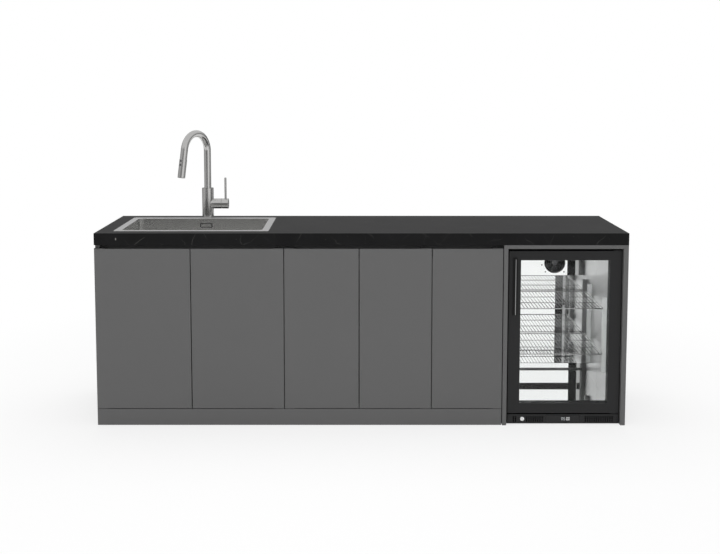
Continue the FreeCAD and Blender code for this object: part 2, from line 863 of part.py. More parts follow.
cartridge = cut(
    rod(
        "branch_bore - 0.2", "branch_bore_depth - 6",
        "branch_length - branch_bore_depth", "0", "branch_height", "x",
    ),
    rod("stem_radius + stem_play", "60", "branch_length - branch_bore_depth + 12", "0", "branch_height", "x"),
)
node("tap_cartridge", place(cartridge, "tap_middle", "tap_place", "bench_height"))
stem = rod(
    "stem_radius", "branch_bore_depth - 12 + lever_slit + stem_reach",
    "branch_length - branch_bore_depth + 12", "0", "branch_height", "x",
)
stem_collar = rod("stem_radius + 6", "4", "branch_length - 5", "0", "branch_height", "x")
node("lever_stem", place(fuse(stem, stem_collar), "tap_middle", "tap_place", "bench_height"))

notch_tool = box("0", "60", "0", "60", "0", "60")
notch_tool.Placement.Rotation = FreeCAD.Rotation(FreeCAD.Vector(0, 1, 0), 180 - size("notch_angle"))
place(notch_tool, "cap_left", "-30", "branch_height - branch_radius + notch_height")
cap = cut(
    rod("branch_radius", "cap_length", "cap_left", "0", "branch_height", "x"),
    rod("branch_radius - cap_wall", "cap_hollow + 5", "cap_left - 5", "0", "branch_height", "x"),
    rod("lever_radius + pin_play", "60", "cap_right - lever_end", "0", "branch_height + 6"),
    notch_tool,
)
node("lever_cap", place(cap, "tap_middle", "tap_place", "bench_height"))
lever_across = "tap_middle + cap_right - lever_end"
lever_low = "branch_height + 6"
node(
    "lever_pin",
    rod(
        "lever_radius", f"lever_top - ({lever_low})",
        lever_across, "tap_place", f"bench_height + {lever_low}",
    ),
)

# Gooseneck spout in its own plane: riser, arch and short straight end
sweep = math.radians(size("arch_sweep"))
arch_centre = FreeCAD.Vector(size("arch_radius"), 0, size("spout_rise"))
end_point = arch_centre + FreeCAD.Vector(-math.cos(sweep), 0, math.sin(sweep)) * size("arch_radius")
end_way = FreeCAD.Vector(math.sin(sweep), 0, math.cos(sweep))
end_turn = FreeCAD.Rotation(UP, end_way)
ARCH_TURN = FreeCAD.Rotation(
    FreeCAD.Vector(-1, 0, 0), FreeCAD.Vector(0, 0, 1), FreeCAD.Vector(0, 1, 0), "XYZ"
)


def spout_pipe(radius, spare):
    riser = rod(
        radius, f"spout_rise - tap_height + sleeve_depth - 1 + {spare}", "0", "0",
        f"tap_height - sleeve_depth + 1 - {spare}",
    )
    arch = doc.addObject("Part::Torus", "arch")
    arch.setExpression("Radius1", sized("arch_radius"))
    arch.setExpression("Radius2", sized(radius))
    arch.setExpression("Angle3", sized("arch_sweep"))
    arch.Placement = FreeCAD.Placement(FreeCAD.Vector(), ARCH_TURN)
    place(arch, "arch_radius", "0", "spout_rise")
    tail = doc.addObject("Part::Cylinder", "tail")
    tail.setExpression("Radius", sized(radius))
    tail.setExpression("Height", sized(f"spout_tail + {spare}"))
    tail.Placement = FreeCAD.Placement(end_point, end_turn)
    return fuse(riser, arch, tail)


spout = cut(spout_pipe("spout_radius", "0"), spout_pipe("spout_bore", "2"))
spout.Placement.Rotation = FreeCAD.Rotation(UP, size("spout_angle"))
node("tap_spout", place(spout, "tap_middle", "tap_place", "bench_height"))
doc.recompute()

# Spray head, hose and buttons hang along the end of the spout: their own +Z points down the stream
head_place = spout.Placement.multiply(
    FreeCAD.Placement(end_point + end_way * size("spout_tail"), end_turn)
)
neck_radius = "spout_bore - head_neck_play"
head_outside = fuse(
    rod("head_radius", "head_length", "0", "0", "0"),
    rod(neck_radius, "head_neck + 1", "0", "0", "-head_neck"),
)
head_spaces = [
    rod("head_radius - 3", "head_mouth + 5", "0", "0", "head_length - head_mouth"),
    rod("head_bore", "head_length", "0", "0", "head_neck"),
    rod("hose_radius - hose_wall", "2 * head_neck + 5", "0", "0", "-head_neck - 1"),
]
button_front = "-head_radius - button_proud"
BUTTONS = ["button_drop", "button_drop + button_pitch"]
for drop in BUTTONS:
    head_spaces.append(
        box(
            f"{button_front} - 5", f"{button_front} + button_depth + button_travel + button_play",
            "-button_width / 2 - button_play", "button_width / 2 + button_play",
            f"{drop} - button_play", f"{drop} + button_height + button_play",
        )
    )
node("spray_head", carried(cut(head_outside, *head_spaces), head_place))
for number, drop in enumerate(BUTTONS, start=1):
    button = box(
        button_front, f"{button_front} + button_depth", "-button_width / 2", "button_width / 2",
        drop, f"{drop} + button_height",
    )
    node(f"spray_button_{number}", carried(button, head_place))
hose = cut(
    rod("hose_radius", "hose_length", "0", "0", "-head_neck - hose_length"),
    rod("hose_radius - hose_wall", "hose_length + 10", "0", "0", "-head_neck - hose_length - 5"),
)
node("spray_hose", carried(hose, head_place))

# Fridge shell and liner, from sheets
inside_left = "fridge_left + shell_sheet"
inside_right = "fridge_right - shell_sheet"
foot = "fridge_foot_height"
node(
    "fridge_shell",
    box("fridge_left", inside_left, "liner_front", "shell_back", foot, "shell_top"),
    box(inside_right, "fridge_right", "liner_front", "shell_back", foot, "shell_top"),
    box(inside_left, inside_right, "liner_front", "shell_back", "shell_top - shell_sheet", "shell_top"),
    box(inside_left, inside_right, "liner_front", "shell_back", foot, f"{foot} + shell_sheet"),
    box(
        inside_left, inside_right, "shell_back - shell_sheet", "shell_back",
        f"{foot} + shell_sheet", "shell_top - shell_sheet",
    ),
    box("fridge_left", "cool_left", "shell_front", "liner_front", foot, "shell_top"),
    box("cool_right", "fridge_right", "shell_front", "liner_front", foot, "shell_top"),
    box("cool_left", "cool_right", "shell_front", "liner_front", "cool_top", "shell_top"),
    box("cool_left", "cool_right", "shell_front", "liner_front", foot, "fridge_floor + liner_sheet"),
)
node(
    "fridge_liner",
    box("liner_left", "cool_left", "liner_front", "liner_back", "fridge_floor", "liner_top"),
    box("cool_right", "liner_right", "liner_front", "liner_back", "fridge_floor", "liner_top"),
    box("cool_left", "cool_right", "liner_front", "liner_back", "cool_top", "liner_top"),
    box("cool_left", "cool_right", "cool_back", "liner_back", "step_top", "cool_top"),
    box(
        "cool_left", "cool_right", "liner_front", "step_front", "fridge_floor", "fridge_floor + liner_sheet",
    ),
    box("cool_left", "cool_right", "step_front", "step_front + liner_sheet", "fridge_floor", "step_top"),
    box(
        "cool_left", "cool_right", "step_front + liner_sheet", "liner_back",
        "step_top - liner_sheet", "step_top",
    ),
)
fridge_feet = []
for across in ("fridge_left + fridge_foot_inset", "fridge_right - fridge_foot_inset"):
    for along in ("shell_front + fridge_foot_inset", "shell_back - fridge_foot_inset"):
        fridge_feet.append(rod("fridge_foot_radius", foot, across, along, "0"))
buffers = []
for start, gap in (("bay_left", "fridge_left_gap"), ("fridge_right", "fridge_right_gap")):
    for height in ("fridge_floor", "shell_top - fridge_floor"):
        buffers.append(rod("buffer_radius", gap, start, "shell_front + fridge_depth / 2", height, "x"))
node("fridge_feet", *fridge_feet, *buffers)

cover_plate = box("cool_left", "cool_right", "cover_front", "fan_back", "cover_low", "cool_top")
fan_hole = rod("fan_hole", "20", "fan_across", "cover_front - 10", "fan_up", "y")
cover_floor = box(
    "cool_left", "cool_right", "fan_back", "cool_back", "cover_low", "cover_low + liner_sheet",
)
node("evaporator_cover", cut(fuse(cover_plate, cover_floor), fan_hole))

# Fan: a ring with eight spokes carries the motor and its shaft; the rotor turns on the shaft
ring = cut(
    rod("fan_ring", "fan_plate", "fan_across", "fan_back", "fan_up", "y"),
    rod("fan_bore", "fan_plate + 10", "fan_across", "fan_back - 5", "fan_up", "y"),
)
fan_pieces = [
    ring,
    rod("fan_motor_radius", "fan_plate + fan_motor_length", "fan_across", "fan_back", "fan_up", "y"),
    rod("fan_shaft_radius", "rotor_length + rotor_air + 2", "fan_across", "motor_back - 1", "fan_up", "y"),
]
for step in range(8):
    spoke = doc.addObject("Part::Box", "spoke")
    spoke.setExpression("Length", sized("(fan_bore + fan_ring) / 2"))
    spoke.setExpression("Width", sized("fan_plate"))
    spoke.setExpression("Height", sized("fan_spoke"))
    turn = FreeCAD.Rotation(FreeCAD.Vector(0, 1, 0), 45 * step + 22.5)
    shift = turn.multVec(FreeCAD.Vector(0, 0, -size("fan_spoke") / 2))
    spoke.Placement = FreeCAD.Placement(shift, turn)
    place(spoke, f"fan_across + {shift.x:.6f}", "fan_back", f"fan_up + {shift.z:.6f}")
    fan_pieces.append(spoke)
node("fan_frame", fuse(*fan_pieces))

rotor_front = "motor_back + rotor_air"
rotor_pieces = [rod("rotor_hub", "rotor_length", "0", "0", "0", "y")]
for step in range(6):
    blade = doc.addObject("Part::Box", "blade")
    blade.setExpression("Length", sized("rotor_tip - rotor_hub / 2"))
    blade.setExpression("Width", sized("blade_thickness"))
    blade.setExpression("Height", sized("blade_chord"))
    round_axis = FreeCAD.Rotation(FreeCAD.Vector(0, 1, 0), 60 * step)
    pitch = FreeCAD.Rotation(FreeCAD.Vector(1, 0, 0), 55)
    corner = FreeCAD.Vector(size("rotor_hub") / 2, -size("blade_thickness") / 2, -size("blade_chord") / 2)
    turn = round_axis.multiply(pitch)
    middle = FreeCAD.Vector(0, size("rotor_length") / 2, 0)
    blade.Placement = FreeCAD.Placement(
        middle + round_axis.multVec(FreeCAD.Vector(corner.x, 0, 0))
        + turn.multVec(FreeCAD.Vector(0, corner.y, corner.z)),
        turn,
    )
    rotor_pieces.append(blade)
rotor = cut(
    fuse(*rotor_pieces),
    rod("fan_shaft_radius + stem_play", "rotor_length + 10", "0", "-5", "0", "y"),
)
node("fan_rotor", place(rotor, "fan_across", rotor_front, "fan_up"))

# Shelf uprights, clips and wire shelves
upright_strips = []
shelf_clips = []
for along in ("upright_1", "upright_2"):
    for start, end, clip_start, clip_end in (
        (
            "cool_left", "cool_left + upright_depth",
            "cool_left + upright_depth", "cool_left + upright_depth + shelf_clip",
        ),
        (
            "cool_right - upright_depth", "cool_right",
            "cool_right - upright_depth - shelf_clip", "cool_right - upright_depth",
        ),
    ):
        upright_strips.append(
            box(start, end, along, f"{along} + upright_width", "step_top + liner_sheet", "upright_top")
        )
        for height in ("wire_shelf_low", "wire_shelf_high"):
            shelf_clips.append(
                box(clip_start, clip_end, along, f"{along} + upright_width", f"{height} - shelf_clip", height)
            )
node("shelf_uprights", *upright_strips, *shelf_clips)


def size_at(name):
    """The number that a place has now, read from a marker point set to it."""
    marker = doc.addObject("Part::Vertex", "marker")
    marker.setExpression("X", sized(name))
    marker.recompute()
    return float(marker.X)


def wire_shelf(label, height):
    """A flat net of wires: a face with a hole between each pair of wires, drawn up into a solid."""
    left = size_at("cool_left") + size("upright_depth") + 1
    right = size_at("cool_right") - size("upright_depth") - 1
    front = size_at("liner_front") + size("wire_shelf_front")
    back = front + size_at("wire_shelf_depth")
    frame = size("wire_frame")
    wire = size("wire_width")
    gaps = int((right - left - 2 * frame) / size("wire_pitch"))
    clear = (right - left - 2 * frame - (gaps - 1) * wire) / gaps
    bay = (back - front - 2 * frame - 2 * wire) / 3

    def loop(x0, x1, y0, y1):
        corners = [(x0, y0), (x1, y0), (x1, y1), (x0, y1), (x0, y0)]
        return Part.makePolygon([FreeCAD.Vector(x, y, size(height)) for x, y in corners])

    loops = [loop(left, right, front, back)]
    for row in range(3):
        near = front + frame + row * (bay + wire)
        for column in range(gaps):
            start = left + frame + column * (clear + wire)
            loops.append(loop(start, start + clear, near, near + bay))
    item = doc.addObject("Part::Feature", "wire_shelf")
    net = Part.makeFace(loops, "Part::FaceMakerBullseye")
    item.Shape = net.extrude(FreeCAD.Vector(0, 0, size("wire_shelf_thickness")))
    return node(label, item)


wire_shelf("fridge_shelf_lower", "wire_shelf_low")
wire_shelf("fridge_shelf_upper", "wire_shelf_high")

# Fridge door: frame with two glazing grooves, panes, gasket, handle and hinge brackets
door_blank = box(
    "fridge_left", "fridge_right", "fridge_front", "fridge_door_back", "fridge_door_foot", "fridge_door_top",
)
door_window = box(
    "pane_left", "pane_right", "fridge_front - 5", "fridge_door_back + 5", "pane_low", "pane_high",
)
panes = []
grooves = []
for deep in ("glass_front_depth", "glass_front_depth + glass_thickness + glass_spacing"):
    near = f"fridge_front + {deep}"
    far = f"{near} + glass_thickness"
    panes.append(
        box(
            "pane_left - glass_edge + glass_play", "pane_right + glass_edge - glass_play", near, far,
            "pane_low - glass_edge + glass_play", "pane_high + glass_edge - glass_play",
        )
    )
    grooves.append(
        box(
            "pane_left - glass_edge", "pane_right + glass_edge", f"{near} - glass_play / 2",
            f"{far} + glass_play / 2", "pane_low - glass_edge", "pane_high + glass_edge",
        )
    )
bores = []
for low in ("fridge_door_foot - 5", "fridge_door_top - hinge_pin_length - bore_spare"):
    bores.append(
        rod(
            "hinge_pin_radius + pin_play", "hinge_pin_length + bore_spare + 5",
            "hinge_across", "hinge_deep", low,
        )
    )
node("fridge_door_frame", cut(door_blank, door_window, *grooves, *bores))
node("fridge_door_glass", *panes)

gasket_blank = box(
    "fridge_left + gasket_inset", "fridge_right - gasket_inset",
    "fridge_door_back", "shell_front - gasket_air",
    "fridge_door_foot + gasket_inset", "fridge_door_top - gasket_inset",
)
gasket_space = box(
    "fridge_left + gasket_inset + gasket_width", "fridge_right - gasket_inset - gasket_width",
    "fridge_door_back - 5", "shell_front + 5",
    "fridge_door_foot + gasket_inset + gasket_width", "fridge_door_top - gasket_inset - gasket_width",
)
node("fridge_door_gasket", cut(gasket_blank, gasket_space))

handle_low = "handle_top - handle_length"
handle_middle = "handle_left + handle_width / 2"
node(
    "fridge_handle",
    fuse(
        box(
            "handle_left", "handle_left + handle_width", "fridge_front - handle_base", "fridge_front",
            handle_low, "handle_top",
        ),
        box(
            f"{handle_middle} - handle_web / 2", f"{handle_middle} + handle_web / 2",
            "fridge_front - handle_depth", "fridge_front", handle_low, "handle_top",
        ),
        box(
            f"{handle_middle} - handle_bead / 2", f"{handle_middle} + handle_bead / 2",
            "fridge_front - handle_depth", "fridge_front - handle_depth + handle_base",
            handle_low, "handle_top",
        ),
    ),
)

hinge_left = "fridge_right - hinge_width"
lower_plate_top = "fridge_door_foot - bracket_air"
lower_plate = f"{lower_plate_top} - hinge_plate"
node(
    "fridge_hinges",
    fuse(
        box(hinge_left, "fridge_right", "fridge_front + 1", "shell_front", lower_plate, lower_plate_top),
        rod("hinge_pin_radius", "hinge_plate + hinge_pin_length", "hinge_across", "hinge_deep", lower_plate),
    ),
    fuse(
        box(
            hinge_left, "fridge_right", "fridge_front + 1", "shell_front + hinge_width",
            "shell_top", "shell_top + hinge_plate",
        ),
        rod(
            "hinge_pin_radius", "hinge_plate + hinge_pin_length", "hinge_across", "hinge_deep",
            "shell_top - hinge_pin_length",
        ),
    ),
)

# Vent panel under the fridge door, with the lock, the control panel and its keys
vent_blank = box("fridge_left", "fridge_right", "vent_front", "shell_front", "vent_bottom", "vent_top")
vent_spaces = [
    box(
        "fridge_left + vent_sheet", "fridge_right - vent_sheet", "vent_front + vent_sheet", "shell_front + 5",
        "vent_bottom + vent_sheet", "vent_top - vent_sheet",
    ),
    rod(
        "lock_radius + lock_play", "vent_sheet + 10",
        "fridge_left + lock_inset", "vent_front - 5", "panel_up", "y",
    ),
    box(
        "vent_middle - panel_width / 2 - panel_play", "vent_middle + panel_width / 2 + panel_play",
        "vent_front - 5", "vent_front + vent_sheet + 5", "panel_low - panel_play",
        "panel_low + panel_height + panel_play",
    ),
]
slot_pitch = size_at("slot_pitch")
SLOT_ROWS = (
    (14, "fridge_left + slot_inset", "+"),
    (13, "fridge_right - slot_inset - slot_width", "-"),
)
for count, start, way in SLOT_ROWS:
    for number in range(count):
        left = f"{start} {way} {number} * slot_pitch"
        middle = size("slot_inset") + (number + 0.5) * slot_pitch - size("lock_inset")
        if way == "+" and abs(middle) < size("lock_radius") + slot_pitch:
            continue
        vent_spaces.append(
            box(
                left, f"{left} + slot_width", "vent_front - 5", "vent_front + vent_sheet + 5",
                "slot_low", "slot_low + slot_height",
            )
        )
node("vent_panel", cut(vent_blank, *vent_spaces))

lock = cut(
    rod("lock_radius", "lock_length", "fridge_left + lock_inset", "vent_front - lock_proud", "panel_up", "y"),
    box(
        "fridge_left + lock_inset - 0.8", "fridge_left + lock_inset + 0.8", "vent_front - lock_proud - 5",
        "vent_front + 4", "panel_up - 4.5", "panel_up + 4.5",
    ),
)
node("lock_barrel", lock)

panel_blank = fuse(
    box(
        "vent_middle - panel_width / 2", "vent_middle + panel_width / 2", "panel_front",
        "vent_front + vent_sheet + panel_depth", "panel_low", "panel_low + panel_height",
    ),
    box(
        "vent_middle - panel_width / 2 - panel_flange", "vent_middle + panel_width / 2 + panel_flange",
        "vent_front + vent_sheet", "vent_front + vent_sheet + panel_depth",
        "panel_low", "panel_low + panel_height",
    ),
)
KEYS = [(-1, 1), (1, 1), (-1, -1), (1, -1)]
key_wells = []
keys = []
for across, up in KEYS:
    middle = f"vent_middle - panel_width * 0.3 + key_right + {across} * key_pitch / 2"
    left = f"{middle} - key_size / 2"
    low = f"panel_up + {up} * key_pitch / 2 - key_size / 2"
    key_wells.append(
        box(
            f"{left} - key_play", f"{left} + key_size + key_play", "panel_front - 5",
            "vent_front + vent_sheet + panel_depth + 5", f"{low} - key_play", f"{low} + key_size + key_play",
        )
    )
    keys.append(
        box(
            left, f"{left} + key_size", "panel_front - key_proud", "panel_front - key_proud + key_length",
            low, f"{low} + key_size",
        )
    )
node("control_panel", cut(panel_blank, *key_wells))
for number, key in enumerate(keys, start=1):
    node(f"control_key_{number}", key)

compressor = turned(
    [
        ("0", "0"),
        ("compressor_radius", "0"),
        ("compressor_radius", "compressor_height * 0.72"),
        ("compressor_radius * 0.86", "compressor_height * 0.88"),
        ("compressor_radius * 0.5", "compressor_height"),
        ("0", "compressor_height"),
    ]
)
node(
    "compressor",
    place(
        compressor, "cool_middle + compressor_right",
        "(step_front + liner_sheet + shell_back - shell_sheet) / 2",
        f"{foot} + shell_sheet",
    ),
)

doc.recompute()
for item in doc.Objects:
    if "Invalid" in item.State or "Error" in item.State:
        raise RuntimeError(f"{item.Name} ({item.Label}) did not build: {item.State}")
os.makedirs("parts", exist_ok=True)
for item in nodes:
    if item.Shape.isNull() or not item.Shape.isValid():
        raise RuntimeError(f"{item.Label} has no valid shape")
    item.Shape.exportStep(f"parts/{item.Label}.step")
print(len(nodes), "sub-parts written")
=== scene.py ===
import json
import math

import bmesh
import bpy
from bpy.props import FloatProperty, FloatVectorProperty, IntProperty, PointerProperty
from mathutils import Matrix, Vector


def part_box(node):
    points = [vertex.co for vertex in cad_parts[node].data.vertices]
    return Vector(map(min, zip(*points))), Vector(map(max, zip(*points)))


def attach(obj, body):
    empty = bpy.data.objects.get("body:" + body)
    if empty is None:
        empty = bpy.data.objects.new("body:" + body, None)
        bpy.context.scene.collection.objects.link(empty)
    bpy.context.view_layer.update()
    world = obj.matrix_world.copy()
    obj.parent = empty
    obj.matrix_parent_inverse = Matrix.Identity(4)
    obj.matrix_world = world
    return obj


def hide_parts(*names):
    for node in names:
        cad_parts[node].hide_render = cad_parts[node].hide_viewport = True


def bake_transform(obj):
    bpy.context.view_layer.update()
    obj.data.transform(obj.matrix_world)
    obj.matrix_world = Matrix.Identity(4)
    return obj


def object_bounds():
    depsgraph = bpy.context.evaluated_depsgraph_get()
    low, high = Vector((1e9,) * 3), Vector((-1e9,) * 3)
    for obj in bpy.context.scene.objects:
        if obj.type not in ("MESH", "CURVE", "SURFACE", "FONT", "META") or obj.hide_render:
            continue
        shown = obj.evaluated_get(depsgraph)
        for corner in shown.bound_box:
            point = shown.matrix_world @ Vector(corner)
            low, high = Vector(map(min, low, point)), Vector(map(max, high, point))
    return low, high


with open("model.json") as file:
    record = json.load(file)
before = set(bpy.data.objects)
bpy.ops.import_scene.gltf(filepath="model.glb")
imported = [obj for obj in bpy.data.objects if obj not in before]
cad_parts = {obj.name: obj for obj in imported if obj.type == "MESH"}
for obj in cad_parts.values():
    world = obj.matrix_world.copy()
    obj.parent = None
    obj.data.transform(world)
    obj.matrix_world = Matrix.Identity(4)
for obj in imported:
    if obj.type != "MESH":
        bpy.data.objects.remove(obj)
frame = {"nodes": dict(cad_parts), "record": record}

bl_info = {
    "name": "Outdoor kitchen run",
    "version": (1, 0, 0),
    "blender": (4, 5, 0),
    "location": "3D View > Sidebar > Kitchen",
    "description": "Dresses an outdoor kitchen: stone top, sink, tap, cupboards and glass-door fridge",
    "category": "Object",
}

NODES = frame["nodes"]
CAD_BOX = [list(corner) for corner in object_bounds()]
BODY_OF = {
    name: body for body, names in frame["record"]["behaviour"]["bodies"].items() for name in names
}
SLOT_OF = {part["node"]: part["material_slot"] for part in frame["record"]["subparts"]}
# The body that stands still, the finishes by name, and how near two places count as close or the same
RUN = "kitchen"
FINISH = {}
X, Y, Z = range(3)
CLOSE = 1e-4
SAME = 1e-5


# Sizes and colours that a user would change
def length(label, words, value, lowest=0.0):
    return FloatProperty(name=label, description=words, default=value, min=lowest, unit="LENGTH", precision=5)


def level(label, words, value, unit="NONE"):
    return FloatProperty(name=label, description=words, default=value, unit=unit, precision=4)


def angle(label, words, degrees):
    return FloatProperty(name=label, description=words, default=math.radians(degrees), subtype="ANGLE")


def number(label, words, value):
    return IntProperty(name=label, description=words, default=value, min=1)


def tone(label, words, value):
    return FloatVectorProperty(
        name=label, description=words, default=value, subtype="COLOR", size=3, min=0.0, max=1.0
    )


class KitchenColours(bpy.types.PropertyGroup):
    """Colours of the finishes."""

    stone: tone("Stone", "Ground of the black worktop stone", (0.0085, 0.0085, 0.0088))
    vein: tone("Vein", "Pale veins in the stone", (0.20, 0.195, 0.185))
    lacquer: tone("Lacquer", "Grey paint of doors, plinth and panels", (0.123, 0.123, 0.123))
    board: tone("Board", "Inside of the cupboards", (0.16, 0.16, 0.158))
    sink: tone("Sink steel", "Brushed steel of the sink", (0.77, 0.77, 0.76))
    tap: tone("Tap steel", "Brushed steel of the tap", (0.57, 0.565, 0.556))
    liner: tone("Liner steel", "Polished steel inside the fridge", (0.93, 0.93, 0.93))
    chrome: tone("Chrome", "Wire shelves", (0.56, 0.56, 0.56))
    black: tone("Fridge black", "Powder coat of the fridge", (0.012, 0.012, 0.0125))
    plastic: tone("Black plastic", "Vent panel, collars and feet", (0.014, 0.014, 0.0145))
    floor: tone("Floor", "Studio floor", (0.86, 0.86, 0.86))


class KitchenTop(bpy.types.PropertyGroup):
    """Sizes of the worktop and the fronts."""

    edge: length("Stone edge", "Rounding of the stone edges", 0.0015)
    wall: length("Apron wall", "Thickness of the mitred apron", 0.020)
    slab: length("Slab", "Thickness of the slab over the carcass", 0.020)
    tap_hole: length("Tap hole", "Radius of the hole for the tap", 0.0175)
    door_edge: length("Door edge", "Rounding of doors and panels", 0.0012)


class KitchenSink(bpy.types.PropertyGroup):
    """Sizes of the sink pressing."""

    rim: length("Rim", "Flat rim at the front and the sides", 0.033)
    rim_back: length("Back rim", "Flat rim at the back", 0.040)
    rim_corner: length("Rim corner", "Corner radius of the rim", 0.012)
    floor: length("Bowl floor", "Height of the bowl floor over the ground", 0.720)
    corner: length("Bowl corner", "Corner radius of the bowl walls", 0.025)
    foot: length("Bowl foot", "Radius between walls and floor", 0.012)
    lip: length("Lip", "Radius between rim and walls", 0.0022)
    sheet: length("Sheet", "Thickness of the steel", 0.0012)
    cutout_gap: length("Cut-out gap", "Air round the bowl in the slab", 0.006)
    drain: length("Drain", "Radius of the waste hole", 0.045)
    groove: length("Overflow groove", "Depth of the overflow's slot ring", 0.0018)


class KitchenTap(bpy.types.PropertyGroup):
    """Sizes of the tap."""

    radius: length("Spout radius", "Outside of the gooseneck", 0.0178)
    wall: length("Spout wall", "Wall of the gooseneck", 0.0035)
    sleeve: length("Sleeve", "Height over the worktop where the spout enters the body", 0.107)
    rise: length("Rise", "Height over the worktop where the arch starts", 0.345)
    arch: length("Arch", "Radius of the arch", 0.093)
    tail: length("Tail", "Straight end of the spout", 0.0485)
    sweep: angle("Sweep", "Angle of the arch", 169)
    turn: angle("Turn", "Direction the spout points in", 240)
    head: length("Spray head", "Length of the spray head", 0.096)
    head_radius: length("Head radius", "Radius of the spray head", 0.019)
    hose: length("Hose radius", "Radius of the pull-out hose", 0.0075)
    lever: length("Lever radius", "Radius of the lever rod", 0.0055)


class KitchenFridge(bpy.types.PropertyGroup):
    """Sizes of the fridge fittings."""

    edge: length("Door edge", "Rounding of the door frame", 0.0016)
    rail: length("Shelf rail", "Radius of the shelf frame", 0.0025)
    wire: length("Shelf wire", "Radius of the shelf wires", 0.0016)
    pitch: length("Wire pitch", "Distance between shelf wires", 0.0165)
    cross_rods: number("Cross rods", "Rods under the shelf wires", 2)
    # The handle's bright strip is a painted highlight; this is the dark margin left beside it
    highlight_inset: length("Bead inset", "Dark margin beside the handle's bright bead", 0.0030)
    slot_pitch: length("Slot pitch", "Distance between the slots of the uprights", 0.0165)
    hook: length("Hook", "Reach and height of the shelf hooks", 0.010)
    guard: length("Guard", "Radius of the fan guard", 0.050)
    guard_rings: number("Guard rings", "Rings of the fan guard", 4)


class KitchenStudio(bpy.types.PropertyGroup):
    """The camera and the lamps."""

    camera_x: length("Camera X", "Camera along X", -0.0182, -20.0)
    camera_y: length("Camera Y", "Camera along Y", -5.1240, -20.0)
    camera_z: length("Camera height", "Camera over the floor", 1.6449)
    pitch: angle("Pitch", "Camera tilt below the horizon", 5.2)
    lens: level("Lens", "Focal length in millimetres", 52.12, "CAMERA")
    slide: level("Slide", "Sideways lens shift", 0.0034)
    rise: level("Rise", "Vertical lens shift", -0.1457)
    fill: level("Fill", "Strength of the even studio light", 0.60)
    key: level("Key", "Power of the front softbox in watts", 70.0, "POWER")
    top: level("Top", "Power of the ceiling softbox in watts", 100.0, "POWER")
    fridge: level("Fridge", "Power of the fridge's own light in watts", 1.2, "POWER")


# Modelling by hand: selection, primitives, rounding and finishing
def deselect():
    if bpy.context.object and bpy.context.object.mode != "OBJECT":
        bpy.ops.object.mode_set(mode="OBJECT")
    bpy.ops.object.select_all(action="DESELECT")


def take(*pieces):
    deselect()
    for piece in pieces:
        piece.select_set(True)
    bpy.context.view_layer.objects.active = pieces[0]


def edit(piece):
    take(piece)
    bpy.ops.object.mode_set(mode="EDIT")


def leave():
    bpy.ops.object.mode_set(mode="OBJECT")


def pick(piece, kind, test=lambda item: True):
    """Select the faces, edges or corners that pass the test, and nothing else."""
    bpy.ops.mesh.select_mode(type=kind)
    bpy.ops.mesh.select_all(action="DESELECT")
    mesh = bmesh.from_edit_mesh(piece.data)
    for item in {"FACE": mesh.faces, "EDGE": mesh.edges, "VERT": mesh.verts}[kind]:
        if test(item):
            item.select_set(True)
    bmesh.update_edit_mesh(piece.data)


def outward():
    """Select the whole mesh and turn its faces outwards."""
    bpy.ops.mesh.select_all(action="SELECT")
    bpy.ops.mesh.normals_make_consistent(inside=False)


def weld(gap):
    bpy.ops.mesh.select_all(action="SELECT")
    bpy.ops.mesh.remove_doubles(threshold=gap)


def settle():
    """Put the place, turn and scale of what is selected into its mesh."""
    bpy.ops.object.transform_apply(location=True, rotation=True, scale=True)


def middle(edge):
    return (edge.verts[0].co + edge.verts[1].co) / 2


def way(edge):
    return (edge.verts[1].co - edge.verts[0].co).normalized()


def runs_along(axis):
    return lambda edge: abs(way(edge)[axis]) > 0.9


def sharp(edge):
    return len(edge.link_faces) == 2 and edge.calc_face_angle(0.0) > math.radians(28)


def pull(by):
    bpy.ops.mesh.extrude_region_move(TRANSFORM_OT_translate={"value": by})


def grow(share, centre):
    bpy.ops.transform.resize(value=share, center_override=centre)


def centre_of(node):
    low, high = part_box(node)
    return (low + high) / 2


def round_edges(piece, radius, segments, test=lambda edge: True, slot=0):
    """Bevel the sharp edges that pass the test."""
    edit(piece)
    pick(piece, "EDGE", lambda edge: sharp(edge) and test(edge))
    bpy.ops.mesh.bevel(offset=radius, segments=segments, affect="EDGES", clamp_overlap=True, material=slot)
    leave()


def fresh(name, primitive, **settings):
    """A new primitive, as a start."""
    deselect()
    primitive(**settings)
    piece = bpy.context.object
    piece.name = name
    return piece


def block(name, low, high):
    """A box from its lowest to its highest corner, as a start."""
    low, high = Vector(low), Vector(high)
    piece = fresh(name, bpy.ops.mesh.primitive_cube_add, size=1, location=(low + high) / 2)
    piece.scale = high - low
    settle()
    return piece


def turned(name, steps, sides=48, closed_top=True):
    """A round piece about Z, raised from a circle through steps of (radius, height)."""
    radius, height = steps[0]
    piece = fresh(
        name, bpy.ops.mesh.primitive_circle_add,
        vertices=sides, radius=radius, fill_type="NGON", location=(0, 0, height),
    )
    settle()
    edit(piece)
    pick(piece, "FACE")
    bpy.ops.mesh.flip_normals()
    for next_radius, next_height in steps[1:]:
        pull((0, 0, next_height - height))
        share = next_radius / radius
        grow((share, share, 1), (0, 0, next_height))
        radius, height = next_radius, next_height
    if not closed_top:
        bpy.ops.mesh.delete(type="FACE")
    outward()
    leave()
    return piece


def rod(name, start, end, radius, sides=8):
    """A straight rod with softened ends between two points."""
    start, end = Vector(start), Vector(end)
    piece = fresh(
        name, bpy.ops.mesh.primitive_cylinder_add,
        vertices=sides, radius=radius, depth=(end - start).length, location=(start + end) / 2,
        rotation=(end - start).to_track_quat("Z", "Y").to_euler(),
    )
    settle()
    along = (end - start).normalized()
    round_edges(piece, radius * 0.35, 1, lambda edge: abs(way(edge).dot(along)) < 0.5)
    return piece


def modify(piece, kind, **settings):
    """Add a modifier and apply it."""
    take(piece)
    modifier = piece.modifiers.new(kind.lower(), kind)
    for key, value in settings.items():
        setattr(modifier, key, value)
    bpy.ops.object.modifier_apply(modifier=modifier.name)


